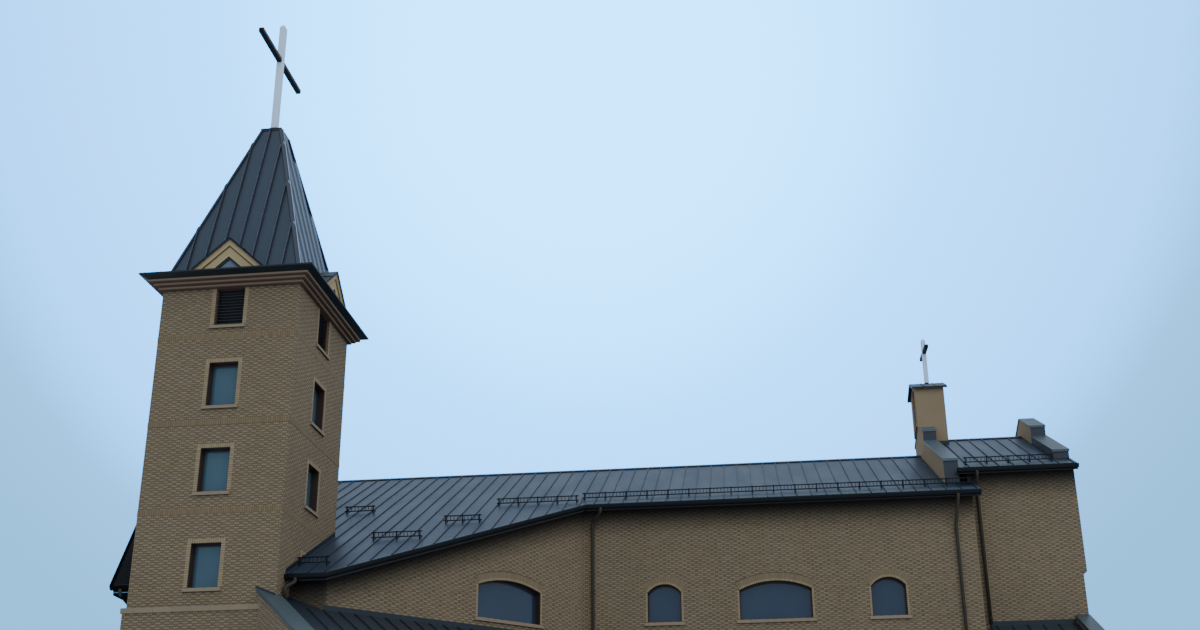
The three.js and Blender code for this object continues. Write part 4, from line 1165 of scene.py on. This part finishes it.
def eave_strips():
    """Pale sheets on the lowest stretch of the roofs, between the snow guards and the gutters."""
    strips = Shape()
    (west, splay, front, east), chancel, deep = STRIP_ENDS, CHANCEL_STRIP, STRIP_DEEP
    back_eaves = mirror(NAVE_EAVE), mirror(CHANCEL_EAVE)
    for top, (x0, x1), y0, y1, wide in (
        (nave_top, (front, east), NAVE_EAVE, NAVE_EAVE, deep),
        (nave_top, (splay, SPLAY_TO), nave_edge(splay), nave_edge(SPLAY_TO), SPLAY_STRIP_DEEP),
        (nave_top, (west, east), back_eaves[0], back_eaves[0], -deep),
        (chancel_top, chancel, CHANCEL_EAVE, CHANCEL_EAVE, deep),
        (chancel_top, chancel, back_eaves[1], back_eaves[1], -deep),
    ):
        outline = [(x0, y0), (x1, y1), (x1, y1 + wide), (x0, y0 + wide)]
        strips.plate(on_roof(outline, top, 0.001), UP * 0.004)
    piece("eave_strips", strips, EAVE_STRIP)


def chancel_seams():
    front, back = shapes(2)
    tops = [RIDGE_Y - BELL_SEAM_CLEAR] + [RIDGE_Y - SEAM_CLEAR] * 6 + [LAST_SEAM_TOP]
    for i, top in enumerate(tops):
        x = CHANCEL_SEAMS_FROM + i * SEAM_STEP
        seam_pair(front, back, x, CHANCEL_EAVE + SEAM_END, top, CHANCEL_EAVE, chancel_top)
    piece("chancel_roof_front_seams", front, SEAM_METAL)
    piece("chancel_roof_back_seams", back, SEAM_METAL)


def ridge_caps():
    caps = Shape()
    wide, low = CAP_HALF, -CAP_HALF * PITCH
    profile = [(-wide, low + 0.045), (0, 0.05), (wide, low + 0.045)]
    profile += [(wide, low + 0.03), (0, 0.03), (-wide, low + 0.03)]
    for ends, ridge in CAP_ENDS:
        caps.loft([[Vector((x, RIDGE_Y + a, ridge + b)) for a, b in profile] for x in ends])
    piece("ridge_caps", caps, SEAM_METAL)


# Snow guards


def snow_guard(shape, x0, x1, y, top):
    """Two rails on posts, with balusters between them and a brace behind each post, on a roof."""
    length, margin = x1 - x0, 0.08

    def at(along, high):
        return Vector((x0 + along, y, top(y) + high))

    for rail in RAILS:
        shape.bar(at(0, rail), at(length, rail), BACK * 0.032, UP * 0.032)
    gaps = round(length / POST_STEP)
    for i in range(gaps + 1):
        along = margin + (length - 2 * margin) * i / gaps
        shape.bar(at(along, 0), at(along, GUARD_HIGH), BACK * 0.04, EAST * 0.04)
        foot = at(along, 0.01)
        shape.bar(foot - BACK * 0.02, foot + (BACK + UP * PITCH) * GUARD_HIGH, EAST * 0.03, UP * 0.02)
    gaps = round(length / BALUSTER_STEP)
    for i in range(1, gaps):
        along = length * i / gaps
        shape.bar(at(along, RAILS[0]), at(along, RAILS[1]), BACK * 0.016, EAST * 0.016)


def snow_guards():
    guards = Shape()
    for x0, x1, y in NAVE_GUARDS:
        snow_guard(guards, x0, x1, y, nave_top)
    x0, x1, y = BACK_GUARD
    snow_guard(guards, x0, x1, mirror(y), nave_top)
    x0, x1, front = CHANCEL_GUARD
    for y in (front, mirror(front)):
        snow_guard(guards, x0, x1, y, chancel_top)
    piece("snow_guards", guards, GUTTER)


# Gutters


def offset_line(points, distance):
    """A plan line moved to its left, with mitred corners."""
    points = [Vector(p) for p in points]
    ways = [(b - a).normalized() for a, b in zip(points, points[1:])]
    sides = [Vector((-way.y, way.x)) for way in ways]
    moved = []
    for point, before, after in zip(points, sides[:1] + sides, sides + sides[-1:]):
        moved.append(point + (before + after) * (distance / (1 + before.dot(after))))
    return moved


def gutter_profile(grow, steps=10):
    """Half an oval below the rim, as distances out and down."""
    half, deep = GUTTER_WIDE / 2, GUTTER_DEEP - grow
    angles = [math.pi * i / steps for i in range(steps + 1)]
    return [(half - (half - 0.003 - grow) * math.cos(a), deep * math.sin(a)) for a in angles]


def gutter_run(shape, edge, top):
    """A half-round gutter below a roof's edge, with straps and a bead along its rim."""
    outline = gutter_profile(0) + gutter_profile(GUTTER_SHEET)[::-1]
    levels = [top(y) - GUTTER_DROP for _, y in edge]
    lines = [offset_line(edge, -out) for out, _ in outline]
    rings = []
    for i, level in enumerate(levels):
        rings.append([Vector((*line[i], level - drop)) for line, (_, drop) in zip(lines, outline)])
    shape.loft(rings)
    rim = offset_line(edge, 0.004 - GUTTER_WIDE)
    shape.tube([(*p, level) for p, level in zip(rim, levels)], 0.008, 8)
    strap = gutter_profile(-0.004, 8) + gutter_profile(0, 8)[::-1]
    corners = [Vector((*p, level)) for p, level in zip(edge, levels)]
    for a, b in zip(corners, corners[1:]):
        way = (b - a).normalized()
        out = Vector((way.x, way.y, 0)).normalized().cross(UP)
        count = round((b - a).length / STRAP_STEP)
        for k in range(count):
            middle = a + (b - a) * ((k + 0.5) / count)
            ends = [middle + way * move for move in (-0.015, 0.015)]
            shape.loft([[p + out * o - UP * d for o, d in strap] for p in ends])


def rounded(path, radius=0.12, steps=5):
    """A path with its corners turned into short curves."""
    path = [Vector(p) for p in path]
    points = [path[0]]
    for before, corner, after in zip(path, path[1:], path[2:]):
        reach = min(radius, (corner - before).length * 0.45, (after - corner).length * 0.45)
        a, b = [corner + (p - corner).normalized() * reach for p in (before, after)]
        for i in range(steps + 1):
            t = i / steps
            points.append(a * (1 - t) ** 2 + corner * (2 * t * (1 - t)) + b * t ** 2)
    return points + [path[-1]]


def wall_pipe(shape, top, eave, wall, x, below=None, neck=0.33, foot=0.0, side=1):
    """A pipe from a gutter to the wall and down it, with collars and clips, on the front or the back."""
    level = top(eave) - GUTTER_DROP
    ys = [eave - GUTTER_WIDE / 2, wall - PIPE - PIPE_GAP]
    gutter_y, pipe_y = ys if side > 0 else [mirror(y) for y in ys]
    below = below or x
    turn, high = level - 0.25, level - 0.25 - neck
    path = [(x, gutter_y, level - 0.1), (x, gutter_y, turn), (below, pipe_y, high), (below, pipe_y, foot)]
    shape.tube(rounded(path), PIPE - 0.003, 14)
    count = int((high - foot) / COLLAR_STEP)
    for i in range(count + 1):
        at = Vector((below, pipe_y, high - 0.2 - (high - foot - 0.4) * i / count))
        shape.tube([at, at + UP * 0.05], PIPE + 0.008, 14)
        clip = at + UP * 0.025
        shape.bar(clip, clip + BACK * (side * (PIPE + PIPE_GAP)), (EAST + BACK) * 0.02, UP * 0.03)


def pipe_beside_tower(shape):
    """The short pipe that ends over the lean-to's roof."""
    level, gutter_y = nave_top(SHORT_EAVE) - GUTTER_DROP, SHORT_EAVE - GUTTER_WIDE / 2
    x, y = SHORT_PIPE_PLACE
    foot = lean_top((x - y) * DIAGONAL) + 0.12
    path = [(SHORT_PIPE_TOP, gutter_y, level - drop) for drop in (0.1, 0.23)]
    path += [(x, y, level - 0.43), (x, y, foot)]
    shape.tube(rounded(path, 0.08), PIPE - 0.003, 14)


def gutters():
    front, left, back, east, pipes = shapes(5)
    edge = [(0.001, SHORT_EAVE), (SPLAY_FROM, SHORT_EAVE), (SPLAY_TO, NAVE_EAVE), (NAVE_EAST, NAVE_EAVE)]
    gutter_run(front, edge, nave_top)
    for place in FRONT_PIPES:
        wall_pipe(pipes, nave_top, NAVE_EAVE, NAVE_FRONT, *place)
    pipe_beside_tower(pipes)
    edge = [(WEST_EAVE, WEST_EAVE_Y), (LEFT_CORNER, LEFT_EAVE), (-TOWER - 0.001, LEFT_EAVE)]
    gutter_run(left, edge, nave_top)
    wall_pipe(pipes, nave_top, LEFT_EAVE, SHORT_WALL, LEFT_PIPE)
    gutter_run(back, [(NAVE_EAST, mirror(NAVE_EAVE)), (WEST_EAVE, mirror(NAVE_EAVE))], nave_top)
    for x in BACK_PIPES:
        wall_pipe(pipes, nave_top, NAVE_EAVE, NAVE_FRONT, x, side=-1)
    edge = [(x, CHANCEL_EAVE) for x in CHANCEL_GUTTER]
    gutter_run(east, edge, chancel_top)
    gutter_run(east, [(x, mirror(y)) for x, y in edge[::-1]], chancel_top)
    for side, foot in ((1, CHANCEL_PIPE_FOOT), (-1, 0.0)):
        wall_pipe(pipes, chancel_top, CHANCEL_EAVE, CHANCEL_FRONT, CHANCEL_PIPE, foot=foot, side=side)
    piece("nave_front_gutter_run", front, GUTTER, replaces=["nave_gutter_front"])
    # The left gutter takes the near-black painted shade of the roof beside the tower.
    piece("nave_left_gutter_run", left, SHADE_SHEET_METAL, replaces=["nave_gutter_left"])
    piece("nave_back_gutter_run", back, GUTTER, replaces=["nave_gutter_back"])
    names = ["chancel_gutter_front", "chancel_gutter_back"]
    piece("chancel_gutter_runs", east, GUTTER, replaces=names)
    names += ["nave_gutter_front", "nave_gutter_left", "nave_gutter_back"]
    piece("downpipes", pipes, PIPE_METAL, replaces=names)


# Parapets, as name, look, ends along the ridge, roof and profile up to the ridge

PARAPETS = [
    ("nave", COPING_METAL, (21.53, 22.04), nave_top,
     [(8.6, 14.33), (12.38, 16.38), (12.38, 16.87), (RIDGE_Y, 17.47)]),
    ("chancel", CHANCEL_COPING, (25.65, 26.2), chancel_top,
     [(9.2, 14.7), (11.9, 16.21), (11.9, 16.65), (RIDGE_Y, 17.52)]),
]


def parapet_metal():
    """Metal copings on the parapets, and sheets on the ends and steps that face the eaves."""
    for name, look, (x0, x1), roof, profile in PARAPETS:
        copings, sheets = shapes(2)
        west, east = x0 - COPING_OVER, x1 + COPING_OVER
        for side in (1, -1):
            points = [(y if side > 0 else mirror(y), z) for y, z in profile]
            (ya, za), (yb, zb), (_, zc), _ = points
            for (y0, z0), (y1, z1), lead in ((*points[:2], 0.05), (*points[2:], 0.04)):
                y, z = y0 - side * lead, z0 - lead * (z1 - z0) / abs(y1 - y0)
                outline = [(y, z), (y1, z1), (y1, z1 + COPING_THICK), (y, z + COPING_THICK)]
                copings.plate([Vector((west, *p)) for p in outline], EAST * (east - west))
                lip = (y + side * 0.006, z - 0.02)
                copings.bar((west, *lip), (east, *lip), BACK * 0.012, UP * 0.07)
            for y, low, high in ((ya, roof(ya) + 0.005, za - 0.01), (yb, zb + 0.005, zc - 0.01)):
                outline = [(x0 + 0.001, low), (x1 + 0.012, low), (x1 + 0.012, high), (x0 + 0.001, high)]
                sheets.plate([Vector((x, y, z)) for x, z in outline], BACK * (-0.014 * side))
            if name == "chancel":
                near = ya + 0.02 * side
                outline = [(near, roof(ya)), (yb, roof(yb)), (yb, zb - 0.01), (near, za - 0.01)]
                sheets.plate([Vector((x0 - 0.002, y, z)) for y, z in outline], EAST * -0.006)
        piece(f"{name}_parapet_copings", copings, look, bevel=0.005)
        piece(f"{name}_parapet_sheets", sheets, CLAD_METAL)


def bell_cote_trim():
    """Edges and seams of the bell cote's roof, and the flashing at its foot."""
    trims, foot = shapes(2)
    for side in (-1, 1):
        eave = RIDGE_Y + side * BELL_REACH
        for x in (BELL_WEST + 0.006, BELL_EAST - 0.006):
            low = (x, eave - side * 0.001, BELL_EAVE - 0.05)
            trims.bar((x, RIDGE_Y, BELL_RIDGE - 0.05), low, EAST * 0.012, UP * 0.11)
        for i in (1, 2):
            x = BELL_WEST + (BELL_EAST - BELL_WEST) * i / 3
            trims.bar((x, RIDGE_Y, BELL_RIDGE + 0.01), (x, eave, BELL_EAVE + 0.01), EAST * 0.02, UP * 0.025)
        start = Vector((BELL_WEST + 0.01, eave - side * 0.008, BELL_EAVE - 0.045))
        trims.bar(start, start + EAST * (BELL_EAST - BELL_WEST - 0.02), BACK * 0.012, UP * 0.08)
        y = RIDGE_Y + side * BELL_FOOT_HALF
        z, east = chancel_top(y) + 0.07, BELL_FOOT[1] - 0.002
        foot.bar(*[(x, y + side * 0.008, z) for x in BELL_FOOT], BACK * SHEET, UP * 0.14)
        foot.bar((east, y, z), (east, RIDGE_Y, CHANCEL_RIDGE + 0.07), EAST * SHEET, UP * 0.14)
    piece("bell_cote_roof_trim", trims, DARK_METAL)
    piece("bell_cote_flashing", foot, DARK_METAL)


# Lean-to, annex and flashings


def folded_coping(low, high):
    """The top of a coping and its two lips, as ends across the wall, drop and depth."""
    return [
        (low - FOLD, high + FOLD, 0.0, SHEET),
        (low - FOLD, low, 0.1, 0.1),
        (high, high + FOLD, 0.1, 0.1),
    ]


def lean_to():
    seams, copings, gutter = shapes(3)
    normal = (UP + CORNER.out * LEAN_PITCH).normalized()
    for i, start in enumerate(LEAN_SEAM_TOPS):
        along = LEAN_SEAMS_FROM + i * SEAM_STEP
        outs = (start + 0.03, LEAN_EDGE - 0.01)
        ends = [CORNER.at(along, out, lean_top(out)) + normal * 0.016 for out in outs]
        seams.bar(*ends, CORNER.along * SEAM_WIDE, normal * SEAM_HIGH)
    reach = LEAN_WALL + 0.17 + FOLD
    for low, high, wall in VERGES:
        for a0, a1, drop, thick in folded_coping(low, high):
            corners = [a0, 0.0, a1] if a0 < 0 < a1 else [a0, a1]
            outline = [(a, 0.012 - abs(a) if wall is None else wall) for a in corners]
            outline += [(a1, reach), (a0, reach)]
            points = [CORNER.at(a, out, lean_top(out, LEAN_COPING) - drop) for a, out in outline]
            copings.plate(points, UP * thick)
    piece("lean_to_seams", seams, SEAM_METAL)
    piece("lean_to_copings", copings, VERGE_METAL)
    edge = [CORNER.at(a, LEAN_EDGE, 0)[:2] for a in LEAN_GUTTER]
    gutter_run(gutter, edge, lambda y: lean_top(LEAN_EDGE))
    piece("lean_to_gutter", gutter, GUTTER)


def upstand(shape, face, low, high=FLASHING, thick=SHEET):
    """A strip of sheet against a wall, above a line of two points."""
    shape.plate([*low, low[1] + UP * high, low[0] + UP * high], face.out * thick)


def roof_flashings():
    """Sheets where the roofs meet the tower and the splay."""
    flashing = Shape()
    tower_front = Face((0, 0), (1, 0))
    near = 2 * VERGES[0][0] * DIAGONAL - 0.03
    low = [tower_front.at(x, 0, lean_top(x * DIAGONAL, LEAN_COPING)) for x in (near, 0.0)]
    upstand(flashing, tower_front, low, 0.07, 0.02)
    foot = lean_top(SPLAY_OUT)
    SPLAY.box(flashing, SPLAY_FLASHING, (0.0, SHEET), (foot - 0.02, foot + FLASHING))
    right, left = Face((0, 0), (0, 1)), Face((-TOWER, TOWER), (0, -1))
    upstand(flashing, right, [right.at(y, 0, nave_top(y) - 0.01) for y in (SHORT_EAVE, TOWER)])
    foot = nave_top(TOWER)
    Face((0, TOWER), (-1, 0)).box(flashing, (0, TOWER), (0, SHEET), (foot - 0.01, foot + FLASHING))
    upstand(flashing, left, [left.at(TOWER - y, 0, nave_top(y) - 0.01) for y in (TOWER, LEFT_EAVE)])
    piece("roof_flashings", flashing, DARK_METAL)


def annex():
    seams, copings, flashing, gutter = shapes(4)
    for i in range(ANNEX_SEAMS):
        x = ANNEX_SEAMS_FROM + i * SEAM_STEP
        slope_rib(seams, x, ANNEX_EAVE + 0.01, CHANCEL_FRONT - 0.02, annex_top)
    y0, y1 = ANNEX_COPING_ENDS
    for x0, x1, drop, thick in folded_coping(*ANNEX_VERGE):
        outline = [(x0, y0), (x0, y1), (x1, y1), (x1, y0)]
        copings.plate(on_roof(outline, annex_top, ANNEX_COPING - ANNEX_HEAD - drop), UP * thick)
    levels = (ANNEX_HEAD - 0.02, ANNEX_HEAD + FLASHING)
    Face((0, CHANCEL_FRONT), (1, 0)).box(flashing, ANNEX_FLASHING, (0, SHEET), levels)
    gutter_run(gutter, [(x, ANNEX_EAVE) for x in ANNEX_GUTTER], annex_top)
    piece("annex_seams", seams, SEAM_METAL)
    piece("annex_coping", copings, VERGE_METAL)
    piece("annex_flashing", flashing, DARK_METAL)
    piece("annex_gutter", gutter, GUTTER)


# Entrance door


def entrance():
    """Raised panels and handles on the door's leaves, and a brick border round it."""
    boards, irons, surround = shapes(3)
    face, middle = GABLE_FACE, -RIDGE_Y
    for side in (-1, 1):
        low, high = sorted((middle + side * 0.12, middle + side * 0.96))
        for levels in DOOR_PANELS:
            face.box(boards, (low, high), (-0.1, -0.075), levels)
        handle = middle + side * 0.1
        irons.tube([face.at(handle, -0.05, z) for z in HANDLE], 0.014, 10)
        for z in (HANDLE[0] + 0.04, HANDLE[1] - 0.04):
            irons.tube([face.at(handle, out, z) for out in (-0.1, -0.05)], 0.009, 8)
    Arch(face, middle, DOOR_WIDE, DOOR_SPRING, DOOR_RISE).strip(surround, 0, 0.22)
    left, right = middle - DOOR_WIDE / 2, middle + DOOR_WIDE / 2
    for ends in ((left - 0.11, left), (right, right + 0.11)):
        upright_strip(surround, face, ends, (0, DOOR_SPRING))
    piece("entrance_door_panels", boards, SLOT_LOOKS["timber"], bevel=0.01)
    piece("entrance_door_handles", irons, DARK_METAL)
    piece("entrance_surround", surround, BORDER)


# Stage


def pale_floor():
    mesh = bpy.data.meshes.new("floor")
    corners = [(x * FLOOR_REACH, y * FLOOR_REACH, FLOOR_LEVEL) for x, y in SQUARE]
    mesh.from_pydata(corners, [], [(0, 1, 2, 3)])
    floor = bpy.data.objects.new("floor", mesh)
    bpy.context.collection.objects.link(floor)
    mesh.materials.append(Tree("pale_floor").finish(FLOOR_COLOUR, 0.95))


def sky():
    """Even light, and a sky behind the building that is brightest one way."""
    world = bpy.data.worlds.new("sky")
    bpy.context.scene.world = world
    world.use_nodes = True
    nodes, links = world.node_tree.nodes, world.node_tree.links
    glow = nodes["Background"]
    glow.inputs[0].default_value = srgb(*SKY_LIGHT)
    kinds = ("TexCoord", "VectorMath", "ValToRGB", "Background", "LightPath", "MixShader")
    place, turn, ramp, shown, path, both = [nodes.new("ShaderNode" + kind) for kind in kinds]
    turn.operation = "DOT_PRODUCT"
    turn.inputs[1].default_value = SKY_BRIGHT_WAY
    steps = ramp.color_ramp.elements
    steps[0].position, steps[1].position = SKY_STEPS[0][0], SKY_STEPS[-1][0]
    for position, _ in SKY_STEPS[1:-1]:
        steps.new(position)
    for step, (_, colour) in zip(steps, SKY_STEPS):
        step.color = (*colour, 1)
    for output, socket in (
        (place.outputs["Generated"], turn.inputs[0]),
        (turn.outputs["Value"], ramp.inputs[0]),
        (ramp.outputs[0], shown.inputs[0]),
        (path.outputs["Is Camera Ray"], both.inputs[0]),
        (glow.outputs[0], both.inputs[1]),
        (shown.outputs[0], both.inputs[2]),
        (both.outputs[0], nodes["World Output"].inputs[0]),
    ):
        links.new(output, socket)


def sun():
    lamp = bpy.data.lights.new("soft_sun", "SUN")
    lamp.energy = SUN_POWER
    lamp.angle = SUN_WIDE
    made = bpy.data.objects.new("soft_sun", lamp)
    made.rotation_euler = SUN_TURN
    bpy.context.collection.objects.link(made)


def camera():
    data = bpy.data.cameras.new("view")
    data.sensor_width = 36
    data.lens = CAMERA_LENS
    data.shift_x, data.shift_y = CAMERA_SHIFT
    data.clip_end = 500
    seen = bpy.data.objects.new("view", data)
    turn = Matrix([CAMERA_RIGHT, CAMERA_UP, -CAMERA_FORWARD]).transposed().to_4x4()
    seen.matrix_world = Matrix.Translation(CAMERA_PLACE) @ turn
    bpy.context.collection.objects.link(seen)
    bpy.context.scene.camera = seen


camera()
pale_floor()
sky()
sun()
dress_nodes()
tower_windows()
tower_bands()
tower_eave()
spire_seams()
crosses()
dormers()
nave_windows()
string_course()
nave_seams()
tower_side_shade()
eave_strips()
chancel_seams()
ridge_caps()
snow_guards()
gutters()
parapet_metal()
bell_cote_trim()
lean_to()
roof_flashings()
annex()
entrance()
